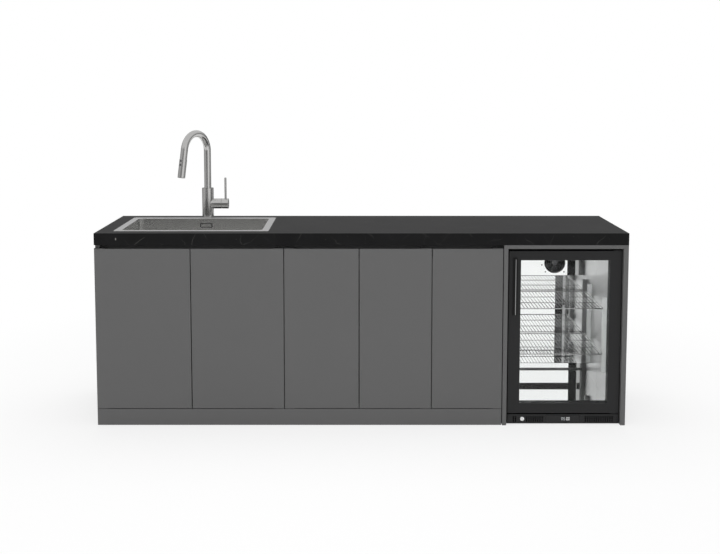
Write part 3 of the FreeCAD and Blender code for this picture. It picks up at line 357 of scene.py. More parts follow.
def row(piece, count, step):
    """Copies of a piece in a row, in one mesh."""
    modify(
        piece, "ARRAY", count=count, use_relative_offset=False, use_constant_offset=True,
        constant_offset_displace=step,
    )


def combine(piece, tool, operation="DIFFERENCE"):
    modify(piece, "BOOLEAN", operation=operation, solver="MANIFOLD", object=tool)
    bpy.data.objects.remove(tool)


def join(name, *pieces):
    take(*pieces)
    bpy.ops.object.join()
    pieces[0].name = name
    return pieces[0]


def scattered(name, piece, places):
    """Copies of a piece at each place, in one mesh."""
    copies = []
    for place in places:
        twin = piece.copy()
        twin.data = piece.data.copy()
        twin.location = place
        bpy.context.scene.collection.objects.link(twin)
        copies.append(twin)
    bpy.data.objects.remove(piece)
    take(*copies)
    settle()
    return join(name, *copies)


def stand(piece, matrix):
    """Put a piece drawn about the origin where it belongs, with its place in its mesh."""
    piece.matrix_world = matrix
    take(piece)
    settle()


def tipped(place, degrees):
    """The place of a round piece whose axis lies along Y."""
    return Matrix.Translation(place) @ Matrix.Rotation(math.radians(degrees), 4, "X")


def wear(piece, finish):
    piece.data.materials.clear()
    piece.data.materials.append(FINISH[finish])


def smooth(piece, degrees):
    take(piece)
    bpy.ops.object.shade_smooth_by_angle(angle=math.radians(degrees))


def done(piece, finish, body, slot, *stands_for, crease=32.0, weighted=True):
    """Smooth, paint and seat a finished piece; a finish of None keeps the paint it has."""
    smooth(piece, crease)
    if weighted:
        modify(piece, "WEIGHTED_NORMAL", keep_sharp=True)
    if finish:
        wear(piece, finish)
    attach(piece, body)
    if stands_for:
        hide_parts(*stands_for)


def merged(node):
    """A copy of a CAD node with its loose triangles merged into whole faces."""
    piece = bpy.data.objects.new(f"{node}_dressed", NODES[node].data.copy())
    bpy.context.scene.collection.objects.link(piece)
    take(piece)
    bpy.ops.mesh.customdata_custom_splitnormals_clear()
    edit(piece)
    weld(0.00001)
    bpy.ops.mesh.dissolve_limited(angle_limit=math.radians(0.5))
    leave()
    return piece


def softened(node, finish, radius, segments=2, test=lambda edge: True, edge_highlight_finish=None):
    """A CAD node with its sharp edges rounded, standing for the node; a lighter finish given for the bevel
    faces carries a painted highlight.
    """
    piece = merged(node)
    wear(piece, finish)
    if edge_highlight_finish:
        piece.data.materials.append(FINISH[edge_highlight_finish])
    round_edges(piece, radius, segments, test, 1 if edge_highlight_finish else 0)
    done(piece, None, BODY_OF[node], SLOT_OF[node], node)
    return piece


def paint_faces(piece, finish, test):
    """Give some faces of a piece a second finish."""
    piece.data.materials.append(FINISH[finish])
    edit(piece)
    pick(piece, "FACE", test)
    piece.active_material_index = len(piece.data.materials) - 1
    bpy.ops.object.material_slot_assign()
    leave()


def paint(finish, *nodes):
    """Give CAD nodes that keep their own shape a finish."""
    for node in nodes:
        for place in NODES[node].material_slots:
            place.material = FINISH[finish]


# Shader nodes
def feed(tree, node, inputs):
    """Link or set a node's sockets."""
    for key, value in inputs.items():
        if isinstance(value, bpy.types.NodeSocket):
            tree.links.new(value, node.inputs[key])
        else:
            node.inputs[key].default_value = value


def add(tree, kind, inputs=None, **settings):
    """A new shader node; gives its outputs."""
    node = tree.nodes.new(f"ShaderNode{kind}")
    for key, value in settings.items():
        setattr(node, key, value)
    feed(tree, node, inputs or {})
    return node.outputs


def calc(tree, operation, *values):
    return add(tree, "Math", dict(enumerate(values)), operation=operation)[0]


def times(tree, first, second):
    return calc(tree, "MULTIPLY", first, second)


def most(tree, first, *others):
    for other in others:
        first = calc(tree, "MAXIMUM", first, other)
    return first


def ranged(tree, value, low, high, first=0.0, last=1.0, kind="LINEAR"):
    """A value carried from the range low to high over to first to last."""
    return add(tree, "MapRange", {0: value, 1: low, 2: high, 3: first, 4: last}, interpolation_type=kind)[0]


def noise(tree, vector, scale, **inputs):
    return add(tree, "TexNoise", {"Vector": vector, "Scale": scale, **inputs})["Fac"]


def mixed(tree, factor, first, second):
    return add(tree, "Mix", {"Factor": factor, "A": first, "B": second}, data_type="RGBA")["Result"]


def bumped(tree, height, strength, distance):
    return add(tree, "Bump", {"Height": height, "Strength": strength, "Distance": distance})[0]


def stretched(tree, vector, share, turn=(0, 0, 0)):
    return add(tree, "Mapping", {"Vector": vector, "Scale": share, "Rotation": turn})[0]


def axes(tree, vector):
    return add(tree, "SeparateXYZ", {0: vector})


def grey(value):
    return (value, value, value, 1)


def effect(name, inputs, outputs):
    """An empty shader node group with named sockets."""
    kinds = {"Vector": "NodeSocketVector", "Colour": "NodeSocketColor"}
    tree = bpy.data.node_groups.new(name, "ShaderNodeTree")
    for labels, side in ((inputs, "INPUT"), (outputs, "OUTPUT")):
        for label in labels:
            tree.interface.new_socket(label, in_out=side, socket_type=kinds.get(label, "NodeSocketFloat"))
    return tree, tree.nodes.new("NodeGroupInput").outputs, tree.nodes.new("NodeGroupOutput")


def cloudy_tint():
    """Slow changes of lightness over a colour."""
    tree, given, out = effect("Cloudy tint", ("Vector", "Colour", "Scale", "Amount"), ("Colour",))
    clouds = noise(tree, given["Vector"], given["Scale"], Detail=3.0, Roughness=0.55)
    swing = calc(tree, "MULTIPLY_ADD", calc(tree, "SUBTRACT", clouds, 0.5), given["Amount"], 1.0)
    tint = add(tree, "HueSaturation", {"Value": swing, "Color": given["Colour"]})
    feed(tree, out, {"Colour": tint[0]})


def fine_grain():
    """A small-scale height and a roughness that follows it."""
    inputs = ("Vector", "Scale", "Roughness", "Spread")
    tree, given, out = effect("Fine grain", inputs, ("Height", "Roughness"))
    grain = noise(tree, given["Vector"], given["Scale"], Detail=4.0, Roughness=0.6)
    centred = calc(tree, "SUBTRACT", grain, 0.5)
    swing = calc(tree, "MULTIPLY_ADD", centred, given["Spread"], given["Roughness"])
    feed(tree, out, {"Height": grain, "Roughness": swing})


def smudges():
    """Wiped patches that add to a roughness."""
    tree, given, out = effect("Smudges", ("Vector", "Scale", "Roughness", "Amount"), ("Roughness",))
    wiped = noise(tree, given["Vector"], given["Scale"], Detail=5.0, Distortion=0.8)
    patch = ranged(tree, wiped, 0.48, 0.72, kind="SMOOTHSTEP")
    feed(tree, out, {"Roughness": calc(tree, "MULTIPLY_ADD", patch, given["Amount"], given["Roughness"])})


def place_group(tree, name, vector, scale, **inputs):
    """One of the effects above."""
    return add(
        tree, "Group", {"Vector": vector, "Scale": scale, **inputs}, node_tree=bpy.data.node_groups[name]
    )


def tinted(tree, vector, colour, scale, amount):
    return place_group(tree, "Cloudy tint", vector, scale, Colour=colour, Amount=amount)["Colour"]


# Finishes
def blank(name):
    """A new finish: its nodes, its shader and the object's coordinates."""
    finish = bpy.data.materials.new(name)
    finish.use_nodes = True
    FINISH[name] = finish
    tree = finish.node_tree
    return tree, tree.nodes["Principled BSDF"], add(tree, "TexCoord")["Object"]


def show(tree, share, shader, other):
    """Show a share of another shader in place of the finish's own."""
    both = add(tree, "MixShader", {0: share, 1: shader.outputs[0], 2: other})
    feed(tree, tree.nodes["Material Output"], {"Surface": both[0]})


def surface(
    name, colour, roughness, metallic=0.0, specular=0.5, grain=400.0, depth=0.05, spread=0.1,
    lines=(1, 1, 1), clouds=3.0, mottle=0.1,
):
    """A finish from the shared effects: cloudy colour and fine grain or brushed lines."""
    tree, shader, vector = blank(name)
    fine = place_group(
        tree, "Fine grain", stretched(tree, vector, lines), grain, Roughness=roughness, Spread=spread
    )
    feed(tree, shader, {
        "Base Color": tinted(tree, vector, (*colour, 1), clouds, mottle),
        "Roughness": fine["Roughness"],
        "Normal": bumped(tree, fine["Height"], depth, 0.0006),
        "Metallic": metallic,
        "Specular IOR Level": specular,
    })


def vein_mask(tree, vector, scale, width, turn):
    """Thin slanted lines that wander a little."""
    bands = add(
        tree, "TexWave",
        {
            "Vector": stretched(tree, vector, (1, 1, 1), turn), "Scale": scale, "Distortion": 3.2,
            "Detail": 3.0, "Detail Scale": 1.8,
        },
        wave_profile="TRI",
    )
    return ranged(tree, bands["Fac"], 0.0, width, 1.0, 0.0)


def black_stone(colours):
    """Honed black stone with thin pale veins, more of them towards the sink end."""
    tree, shader, vector = blank("black stone")
    steep = vein_mask(tree, vector, 2.6, 0.016, (0.0, 0.85, 0.75))
    shallow = vein_mask(tree, vector, 2.2, 0.014, (0.0, -0.75, -0.6))
    hair = vein_mask(tree, vector, 5.2, 0.020, (0.0, 0.35, 1.1))
    lines = most(tree, times(tree, steep, 0.7), times(tree, shallow, 0.6), times(tree, hair, 0.4))
    gaps = ranged(tree, noise(tree, vector, 10.0, Detail=3.0), 0.47, 0.66)
    left = ranged(tree, axes(tree, vector)["X"], -0.9, 0.0, 1.0, 0.5)
    veins = times(tree, times(tree, lines, gaps), left)
    flecks = add(tree, "TexVoronoi", {"Vector": vector, "Scale": 46.0, "Randomness": 1.0})
    speck = ranged(tree, flecks["Distance"], 0.03, 0.10, 0.5, 0.0)
    few = ranged(tree, noise(tree, vector, 17.0, Detail=1.0), 0.60, 0.68)
    specks = times(tree, times(tree, speck, few), left)
    chip_place = (-1.147, -0.31, 0.4465)
    off_chip = add(
        tree, "VectorMath", {0: stretched(tree, vector, (1.0, 1.0, 0.5)), 1: chip_place}, operation="DISTANCE"
    )
    chip = ranged(tree, off_chip["Value"], 0.0012, 0.0035, 1.5, 0.0)
    ground = tinted(tree, vector, (*colours.stone, 1), 7.0, 0.9)
    fine = place_group(tree, "Fine grain", vector, 260.0, Roughness=0.42, Spread=0.12)
    feed(tree, shader, {
        "Base Color": mixed(tree, most(tree, veins, specks, chip), ground, (*colours.vein, 1)),
        "Roughness": fine["Roughness"],
        "Normal": bumped(tree, fine["Height"], 0.05, 0.0005),
        "Specular IOR Level": 0.10,
    })


def liner_steel(colour):
    """Polished steel with slow waves; the side walls are satin and a little darker."""
    tree, shader, vector = blank("liner steel")
    low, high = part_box("fridge_liner")
    half = (high.x - low.x) / 2
    off = calc(tree, "ABSOLUTE", calc(tree, "SUBTRACT", axes(tree, vector)["X"], (low.x + high.x) / 2))
    wall_start, wall_end = half - 0.0018, half - 0.0014
    polished, satin = 0.012, 0.34
    side = ranged(tree, off, wall_start, wall_end)
    rough = ranged(tree, side, 0.0, 1.0, polished, satin)
    waves = noise(tree, vector, 3.2, Detail=1.0)
    feed(tree, shader, {
        "Base Color": mixed(tree, side, tinted(tree, vector, (*colour, 1), 3.0, 0.04), grey(0.60)),
        "Roughness": place_group(tree, "Smudges", vector, 6.0, Roughness=rough, Amount=0.008)["Roughness"],
        "Normal": bumped(tree, waves, 0.012, 0.004),
        "Metallic": 1.0,
    })


def pane_glass():
    """Clear glazing that lets the lamps through, with faint wiped patches."""
    tree, shader, vector = blank("pane glass")
    feed(tree, shader, {
        "Roughness": place_group(tree, "Smudges", vector, 7.0, Roughness=0.0, Amount=0.012)["Roughness"],
        "Base Color": (0.995, 1.0, 0.998, 1),
        "Transmission Weight": 1.0,
        "IOR": 1.13,
    })
    path = add(tree, "LightPath")
    clear = add(tree, "BsdfTransparent", {"Color": (0.97, 0.98, 0.975, 1)})
    show(tree, most(tree, path["Is Shadow Ray"], path["Is Diffuse Ray"]), shader, clear[0])


def braided_hose():
    """Grey nylon braid: two sets of slanted threads."""
    tree, shader, vector = blank("braided hose")
    threads = []
    for lean in (0.8, -0.8):
        slanted = stretched(tree, vector, (1, 1, 1), (0.0, lean, 0.0))
        threads.append(add(tree, "TexWave", {"Vector": slanted, "Scale": 160.0})["Fac"])
    braid = most(tree, *threads)
    feed(tree, shader, {
        "Base Color": mixed(tree, braid, (0.08, 0.08, 0.082, 1), (0.34, 0.34, 0.35, 1)),
        "Normal": bumped(tree, braid, 0.5, 0.0006),
        "Roughness": 0.45,
    })


def lit_digits():
    """Pale lit figures behind a dark window."""
    tree, shader, vector = blank("lit digits")
    glow = tinted(tree, vector, (0.72, 0.74, 0.76, 1), 300.0, 0.25)
    feed(tree, shader, {
        "Base Color": glow, "Emission Color": glow, "Emission Strength": 0.35, "Roughness": 0.4,
    })


def plain_finishes(colours):
    """The finishes that differ only in their numbers."""
    brushed = {"metallic": 1.0, "grain": 45.0, "lines": (1.0, 24.0, 24.0), "depth": 0.001, "spread": 0.03}
    surface(
        "grey lacquer", colours.lacquer, 0.46, specular=0.22, grain=900.0, depth=0.06, clouds=1.1,
    )
    # Bevel faces of doors and panels: a lighter, glossier lacquer, partly edge wear and partly a painted
    # highlight along the edges
    surface(
        "lacquer edge", [value * 1.06 for value in colours.lacquer], 0.42, specular=0.28, grain=500.0,
        mottle=0.2, clouds=20.0,
    )
    surface(
        "grey board", colours.board, 0.55, specular=0.3, grain=700.0, depth=0.10, spread=0.15, clouds=2.0,
        mottle=0.12,
    )
    surface("black channel", (0.075,) * 3, 0.45, specular=0.3, grain=60.0, lines=(1, 20, 20), depth=0.1)
    surface(
        "pivot steel", (0.36, 0.36, 0.355), 0.34, metallic=1.0, grain=300.0, depth=0.08, clouds=30.0,
        mottle=0.2,
    )
    # Black of the magnet catches; on the overflow's slot ring it is painted shade
    surface("magnet black", (0.02, 0.02, 0.021), 0.6, grain=900.0, depth=0.2, clouds=40.0, mottle=0.4)
    surface("moulded plastic", colours.plastic, 0.5, specular=0.3, grain=1400.0, depth=0.15, clouds=25.0)
    surface("sink steel", colours.sink, 0.26, mottle=0.04, **brushed)
    surface("sink rim", (0.67,) * 3, 0.44, mottle=0.05, **brushed)
    surface(
        "tap steel", colours.tap, 0.20, metallic=1.0, grain=90.0, lines=(9.0, 9.0, 0.8), depth=0.0006,
        spread=0.03, clouds=14.0, mottle=0.04,
    )
    surface("tap brass", (0.55, 0.43, 0.20), 0.32, metallic=1.0, grain=500.0, mottle=0.2, clouds=40.0)
    surface("cartridge white", (0.74, 0.74, 0.72), 0.4, grain=900.0, mottle=0.08, clouds=40.0)
    surface("button grey", (0.085, 0.085, 0.088), 0.45, grain=1500.0, depth=0.15, mottle=0.2, clouds=90.0)
    surface(
        "fridge black", colours.black, 0.42, specular=0.30, grain=1100.0, depth=0.14, spread=0.14, clouds=5.0,
        mottle=0.25,
    )
    # Bevel faces of the fridge door frame: a lighter, glossier black, a painted highlight along the edges
    surface(
        "fridge edge", [value * 2.2 for value in colours.black], 0.34, specular=0.45, grain=900.0, mottle=0.2,
    )
    # Bright strip on the fridge handle's front: a painted highlight
    surface(
        "handle bead", (0.30, 0.30, 0.302), 0.32, metallic=0.6, lines=(1, 1, 0.05), depth=0.02, clouds=10.0,
    )
    surface(
        "wire chrome", colours.chrome, 0.16, metallic=1.0, grain=700.0, depth=0.01, spread=0.08, clouds=40.0,
        mottle=0.15,
    )
    surface(
        "upright steel", (0.88,) * 3, 0.40, grain=300.0, depth=0.01, spread=0.08, clouds=20.0, mottle=0.08,
    )
    surface("fan black", (0.008, 0.008, 0.0085), 0.38, specular=0.35, grain=1200.0, depth=0.1, clouds=30.0)
    surface("guard grey", (0.085, 0.085, 0.087), 0.4, specular=0.4, grain=900.0, clouds=30.0)
    surface("frame back", (0.45,) * 3, 0.5, grain=900.0, depth=0.1, clouds=6.0, mottle=0.06)
    surface("gasket rubber", (0.014,) * 3, 0.7, specular=0.2, grain=800.0, depth=0.2, clouds=20.0)
    surface("key grey", (0.62,) * 3, 0.45, grain=1500.0, depth=0.1, mottle=0.12, clouds=120.0)
    surface("window black", (0.004, 0.004, 0.0045), 0.12, specular=0.4, grain=200.0, depth=0.01, clouds=60.0)
    surface("compressor black", (0.012, 0.012, 0.0125), 0.3, grain=300.0, depth=0.2, clouds=20.0)


PAINTED = {
    "grey board": ("cupboard_partitions", "cupboard_floors", "front_rails", "cupboard_shelves"),
    "grey lacquer": ("cupboard_backs",),
    "pivot steel": ("shelf_supports", "sink_clips", "lever_stem"),
    "black channel": ("pivot_brackets", "finger_channel"),
    "fridge black": ("fridge_hinges", "fridge_shell"),
    "magnet black": ("magnet_catches",),
    "moulded plastic": ("levelling_feet", "fridge_feet"),
    "sink steel": ("strainer_basket",),
    "tap brass": ("tap_shank",),
    "cartridge white": ("tap_cartridge",),
    "liner steel": ("fridge_liner",),
    "pane glass": ("fridge_door_glass",),
    "fan black": ("fan_frame", "fan_rotor"),
    "compressor black": ("compressor",),
}


# Worktop and fronts
def stone_top(top, sink):
    """One mitred top with an apron, cut for the sink and the tap."""
    low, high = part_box("benchtop_apron")
    piece = block("stone_top", low, high)
    edit(piece)
    pick(piece, "FACE", lambda face: face.normal.z < -0.9)
    bpy.ops.mesh.inset(thickness=top.wall)
    pull((0, 0, high.z - low.z - top.slab))
    leave()
    rim_low, rim_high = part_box("sink_bowl")
    air = sink.sheet + sink.cutout_gap
    combine(piece, block(
        "opening",
        (rim_low.x + sink.rim - air, rim_low.y + sink.rim - air, high.z - 2 * top.slab),
        (rim_high.x - sink.rim + air, rim_high.y - sink.rim_back + air, high.z + top.slab),
    ))
    tap = centre_of("tap_shank")
    hole = turned("hole", [(top.tap_hole, high.z - 0.03), (top.tap_hole, high.z + 0.01)], 32)
    stand(hole, Matrix.Translation((tap.x, tap.y, 0)))
    combine(piece, hole)

    def outside(edge):
        at = middle(edge)
        return abs(abs(at.x) - high.x) < CLOSE or abs(abs(at.y) - high.y) < CLOSE

    round_edges(piece, top.edge, 3, outside)
    done(piece, "black stone", RUN, "black_stone", "benchtop_slab", "benchtop_apron")


def fronts(radius):
    """Doors and panels with softened edges; the bevel faces take a lighter, glossier lacquer that is partly
    edge wear and partly a painted highlight.
    """
    panels = ("plinth", "left_end_panel", "fridge_side_panel", "right_end_panel", "fridge_bay_top")
    segments = {**{f"door_{count}": 3 for count in range(1, 6)}, **{panel: 2 for panel in panels}}
    for node, steps in segments.items():
        softened(node, "grey lacquer", radius, steps, lambda edge: edge.calc_length() > 0.015, "lacquer edge")


def rear_screws(back):
    """Screw heads along the back boards."""
    screw = turned(
        "screw",
        [
            (0.0045, -0.0004), (0.0045, 0.0), (0.0040, 0.0007), (0.0022, 0.0010), (0.0019, 0.0005),
            (0.0004, 0.0005),
        ],
        16,
    )
    stand(screw, tipped((0, back, 0), -90))
    columns = (-1.20, -0.80, -0.38, -0.345, -0.01, 0.315, 0.35, 0.655, 0.70, 1.215)
    heights = (0.12, 0.37, 0.61, 0.85)
    places = [(across, 0, up) for across in columns for up in heights]
    done(scattered("rear_screws", screw, places), "pivot steel", RUN, "pivot_steel")


def service_collars(back):
    """Plastic collars in the two service holes of the back boards."""
    mounts = {mount["name"]: mount for mount in frame["record"]["mounts"]}
    for name in ("service_entry", "cable_entry"):
        at = Vector(mounts[name]["pos_m"])
        bore = mounts[name]["dims"]["r_mm"] / 1000
        depth = 0.013
        outer, inner = bore - 0.0002, bore - 0.0030
        collar = turned(
            f"{name}_collar",
            [
                (outer, -depth), (outer, 0.0), (bore + 0.006, 0.0), (bore + 0.0055, 0.0016),
                (bore + 0.001, 0.0024), (bore - 0.0024, 0.0018), (inner, 0.0), (inner, -depth),
            ],
            64, closed_top=False,
        )
        edit(collar)
        pick(collar, "FACE", lambda face: len(face.verts) > 8)
        bpy.ops.mesh.delete(type="FACE")
        leave()
        stand(collar, tipped((at.x, back, at.z), -90))
        done(collar, "moulded plastic", RUN, "foot_plastic")


# Sink
def basin(size, low, high, sheet):
    """A rounded tub with a flat floor."""
    tub = block("tub", low, high)
    round_edges(tub, size.corner + sheet, 10, runs_along(Z))
    round_edges(tub, size.foot + sheet, 6, lambda edge: middle(edge).z < low.z + SAME)
    return tub


def sink_bowl(size):
    """A pressed bowl with a flat rim, holed for the waste and the overflow."""
    low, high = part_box("sink_bowl")
    inner_low = Vector((low.x + size.rim, low.y + size.rim, size.floor))
    inner_high = Vector((high.x - size.rim, high.y - size.rim_back, high.z))
    sheet = Vector((size.sheet, size.sheet, size.sheet))
    bowl = block("sink_pressing", (low.x, low.y, high.z - size.sheet), high)
    round_edges(bowl, size.rim_corner, 8, runs_along(Z))
    shell_high = inner_high + sheet - Vector((0, 0, 1.4 * size.sheet))
    combine(bowl, basin(size, inner_low - sheet, shell_high, size.sheet), "UNION")
    combine(bowl, basin(size, inner_low, inner_high + Vector((0, 0, 0.02)), 0.0))
    margin = 0.002

    def at_mouth(edge):
        at = middle(edge)
        inside_x = low.x + margin < at.x < high.x - margin
        return inside_x and low.y + margin < at.y < high.y - margin and at.z > high.z - SAME

    round_edges(bowl, size.lip, 3, at_mouth)
    hole = turned("hole", [(size.drain, -0.03), (size.drain, 0.03)], 48)
    stand(hole, Matrix.Translation(((low.x + high.x) / 2, (inner_low.y + inner_high.y) / 2, size.floor)))
    combine(bowl, hole)
    slot = centre_of("overflow_plate")
    front, back = Vector((0.0215, 0.008, 0.0065)), Vector((0.0215, 0.012, 0.0065))
    combine(bowl, block("slot", slot - front, slot + back))
    done(bowl, "sink steel", RUN, "sink_steel", "sink_bowl", crease=40)
    rim_face = high.z - 0.001
    paint_faces(
        bowl, "sink rim", lambda face: face.normal.z > 0.9 and face.calc_center_median().z > rim_face
    )


def overflow_cover(size):
    """A plate with a ring groove in its face, the groove's floor painted black: painted shade standing for
    the dark open slot.
    """
    low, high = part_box("overflow_plate")
    plate = block("overflow_cover", low, high)
    corner, margin, slot_width, softening = 0.0085, 0.0008, 0.0052, 0.0004
    round_edges(plate, corner, 8, runs_along(Y))
    edit(plate)
    pick(plate, "FACE", lambda face: face.normal.y < -0.9)
    bpy.ops.mesh.inset(thickness=margin)
    pull((0, size.groove, 0))
    bpy.ops.mesh.inset(thickness=slot_width)
    pull((0, -size.groove, 0))
    leave()
    round_edges(plate, softening, 2, lambda edge: middle(edge).y < low.y + 2 * CLOSE)
    done(plate, "sink steel", RUN, "sink_steel", "overflow_plate")
    # The groove's floor is painted black: painted shade
    ring = low.y + size.groove
    paint_faces(plate, "magnet black", lambda face: abs(face.calc_center_median().y - ring) < 0.0003)


# Tap
def tap_body():
    """Body and lever cap with softened rims."""
    low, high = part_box("tap_body")
    foot = low.z + 0.0045

    def body_rim(edge):
        at = middle(edge)
        return at.z > high.z - CLOSE or at.z < foot or at.x > high.x - CLOSE

    softened("tap_body", "tap steel", 0.0007, 2, body_rim)
    cap_low, cap_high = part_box("lever_cap")
    softened(
        "lever_cap", "tap steel", 0.0008, 2,
        lambda edge: not cap_low.x + CLOSE <= middle(edge).x <= cap_high.x - CLOSE,
    )


def lever_rod(radius):
    """A slim rod with a domed tip."""
    low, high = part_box("lever_pin")
    dome = 0.0012
    tip = [
        (radius * math.cos(turn), high.z - dome + dome * math.sin(turn)) for turn in (0.0, 0.4, 0.8, 1.2)
    ]
    lever = turned(
        "lever_rod", [(radius, low.z), (radius, high.z - 0.03), *tip, (radius * 0.05, high.z)], 32
    )
    stand(lever, Matrix.Translation(((low.x + high.x) / 2, (low.y + high.y) / 2, 0)))
    done(lever, "tap steel", BODY_OF["lever_pin"], "tap_steel", "lever_pin", crease=40)


def spout_end(size):
    """The stream's direction and the middle of the spout's end, before the spout is turned."""
    down = Vector((math.sin(size.sweep), 0, math.cos(size.sweep)))
    out = Vector((-math.cos(size.sweep), 0, math.sin(size.sweep)))
    return down, Vector((size.arch, 0, size.rise)) + out * size.arch + down * size.tail


def spout_place(size):
    """Where the spout stands on the worktop, turned to its direction."""
    shank = centre_of("tap_shank")
    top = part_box("benchtop_apron")[1].z
    return Matrix.Translation((shank.x, shank.y, top)) @ Matrix.Rotation(size.turn, 4, "Z")


def spout_tube(size):
    """A ring drawn up the riser, spun over the arch and drawn down the tail, then given its wall."""
    down, end = spout_end(size)
    spout = fresh(
        "spout_tube", bpy.ops.mesh.primitive_circle_add,
        vertices=48, radius=size.radius, location=(0, 0, size.sleeve),
    )
    settle()
    edit(spout)
    pick(spout, "EDGE")
    pull((0, 0, size.rise - size.sleeve))
    bpy.ops.mesh.spin(
        steps=64, angle=-size.sweep, center=(size.arch, 0, size.rise), axis=(0, 1, 0), use_normal_flip=False
    )
    pull(down * size.tail)
    weld(0.00002)
    outward()
    leave()
    modify(spout, "SOLIDIFY", thickness=size.wall, offset=-1.0)
    round_edges(spout, 0.0005, 2, lambda edge: abs((middle(edge) - end).dot(down)) < CLOSE)
    stand(spout, spout_place(size))
    done(spout, "tap steel", BODY_OF["tap_spout"], "tap_steel", "tap_spout", crease=40)


def head_place(size):
    """Where the spray head starts, with its own Z down the stream."""
    down, end = spout_end(size)
    side = Vector((0, 1, 0))
    turn = Matrix((side.cross(down), side, down)).transposed().to_4x4()
    return spout_place(size) @ Matrix.Translation(end) @ turn


def spray_head(size, place):
    """A turned shell with a neck, a dished outlet and two wells for the buttons."""
    full, tall = size.head_radius, size.head
    dish = tall - 0.0042
    head = turned(
        "spray_shell",
        [
            (0.0128, -0.0175), (0.0130, -0.0004), (0.0170, 0.0), (0.0170, 0.0011), (full - 0.0006, 0.0011),
            (full, 0.0017), (full, tall - 0.0012), (full - 0.0004, tall - 0.0004), (full - 0.0012, tall),
            (full - 0.0028, tall), (full - 0.0030, dish), (0.002, dish),
        ],
        64,
    )
    well_half, well_floor, button, air = 0.0048, 0.0141, 0.0100, 0.0003
    for drop in (0.006, 0.026):
        combine(head, block(
            "well", (-0.030, -well_half, drop - air), (-well_floor, well_half, drop + button + air)
        ))
    stand(head, place)
    done(head, "tap steel", BODY_OF["spray_head"], "tap_steel", "spray_head", crease=40)


def spray_nozzles(size, place):
    """Rubber nubs round the outlet."""
    nub = turned("nub", [(0.0011, -0.0044), (0.0010, -0.0030), (0.0008, -0.0022), (0.0003, -0.0026)], 10)
    places = []
    for ring, count in ((0.0045, 6), (0.0090, 12), (0.0134, 18)):
        for step in range(count):
            turn = 2 * math.pi * step / count
            places.append((ring * math.cos(turn), ring * math.sin(turn), size.head))
    nozzles = scattered("spray_nozzles", nub, places)
    stand(nozzles, place)
    done(nozzles, "button grey", BODY_OF["spray_head"], "button_grey")


def pull_hose(size, place):
    """The hose inside the spout, in short rings along its length."""
    start, ring_gap, rings = -0.060, 0.0011, 41
    hose = turned("pull_hose", [(size.hose, start + ring_gap * count) for count in range(rings)], 24)
    stand(hose, place)
    smooth(hose, 40)
    wear(hose, "braided hose")
    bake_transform(hose)
    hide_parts("spray_hose")


# Inside of the fridge
SHELVES = ("fridge_shelf_lower", "fridge_shelf_upper")


def shelf_frame(node, low, high, rail):
    """A round-cornered ring of bent wire."""
    corner = 0.010
    ring = fresh(f"{node}_wires", bpy.ops.mesh.primitive_plane_add, size=1, location=(0, 0, 0))
    ring.location = (low + high) / 2
    ring.scale = (high.x - low.x - 2 * rail, high.y - low.y - 2 * rail, 1)
    settle()
    edit(ring)
    bpy.ops.mesh.select_all(action="SELECT")
    bpy.ops.mesh.delete(type="ONLY_FACE")
    pick(ring, "VERT")
    bpy.ops.mesh.bevel(offset=corner, segments=5, affect="VERTICES")
    leave()
    take(ring)
    bpy.ops.object.convert(target="CURVE")
    ring.data.bevel_depth = rail
    ring.data.bevel_resolution = 3
    bpy.ops.object.convert(target="MESH")
    edit(ring)
    weld(0.00002)
    outward()
    leave()
    return ring


def wire_shelf(node, size):
    """A frame with wires from front to back over a few cross rods."""
    low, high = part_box(node)
    rail, radius = size.rail, size.wire
    ring = shelf_frame(node, low, high, rail)
    wide = high.x - low.x
    count = int((wide - 4 * rail) / size.pitch)
    first = low.x + (wide - (count - 1) * size.pitch) / 2
    wire_z = high.z - radius
    wire = rod("wire", (first, low.y + rail, wire_z), (first, high.y - rail, wire_z), radius)
    row(wire, count, (size.pitch, 0, 0))
    gap = (high.y - low.y - 2 * rail) / (size.cross_rods + 1)
    near, cross_z = low.y + rail + gap, low.z + radius
    cross = rod("cross", (low.x + rail, near, cross_z), (high.x - rail, near, cross_z), radius * 1.1)
    row(cross, size.cross_rods, (0, gap, 0))
    piece = join(ring.name, ring, wire, cross)
    done(piece, "wire chrome", RUN, "shelf_chrome", node, crease=60, weighted=False)


def uprights(size):
    """Four folded strips with a row of slots, and a hook at each shelf corner."""
    corners = [corner.co for corner in NODES["shelf_uprights"].data.vertices]
    low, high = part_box("shelf_uprights")
    centre = (low + high) / 2
    foot = min(at.z for at in corners if abs(at.x - low.x) < SAME or abs(at.x - high.x) < SAME)
    strips = {}
    for at in corners:
        if at.z > high.z - SAME:
            strips.setdefault((at.x < centre.x, at.y < centre.y), []).append(at)
    pieces = []
    for (left, _), tops in strips.items():
        start = Vector((min(at.x for at in tops), min(at.y for at in tops), foot))
        end = Vector((max(at.x for at in tops), max(at.y for at in tops), high.z))
        pieces.append(slotted_strip(left, start, end, size.slot_pitch))
        inner, reach = (end.x, size.hook) if left else (start.x, -size.hook)
        for shelf in SHELVES:
            pieces.append(shelf_hook(inner, reach, start.y, end.y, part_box(shelf)[0].z, size.hook))
    piece = join("shelf_uprights_slotted", *pieces)
    done(piece, "upright steel", RUN, SLOT_OF["shelf_uprights"], "shelf_uprights")


def shelf_hook(inner, reach, front, back, top, tall):
    """A block under a shelf corner that narrows downwards."""
    taper = 0.45
    sides = sorted((inner, inner + reach))
    hook = block("hook", (sides[0], front, top - tall), (sides[1], back, top))
    edit(hook)
    pick(hook, "FACE", lambda face: face.normal.z < -0.9)
    grow((1.0, taper, 1.0), (inner + reach / 2, (front + back) / 2, top - tall))
    leave()
    round_edges(hook, 0.0012, 2)
    return hook


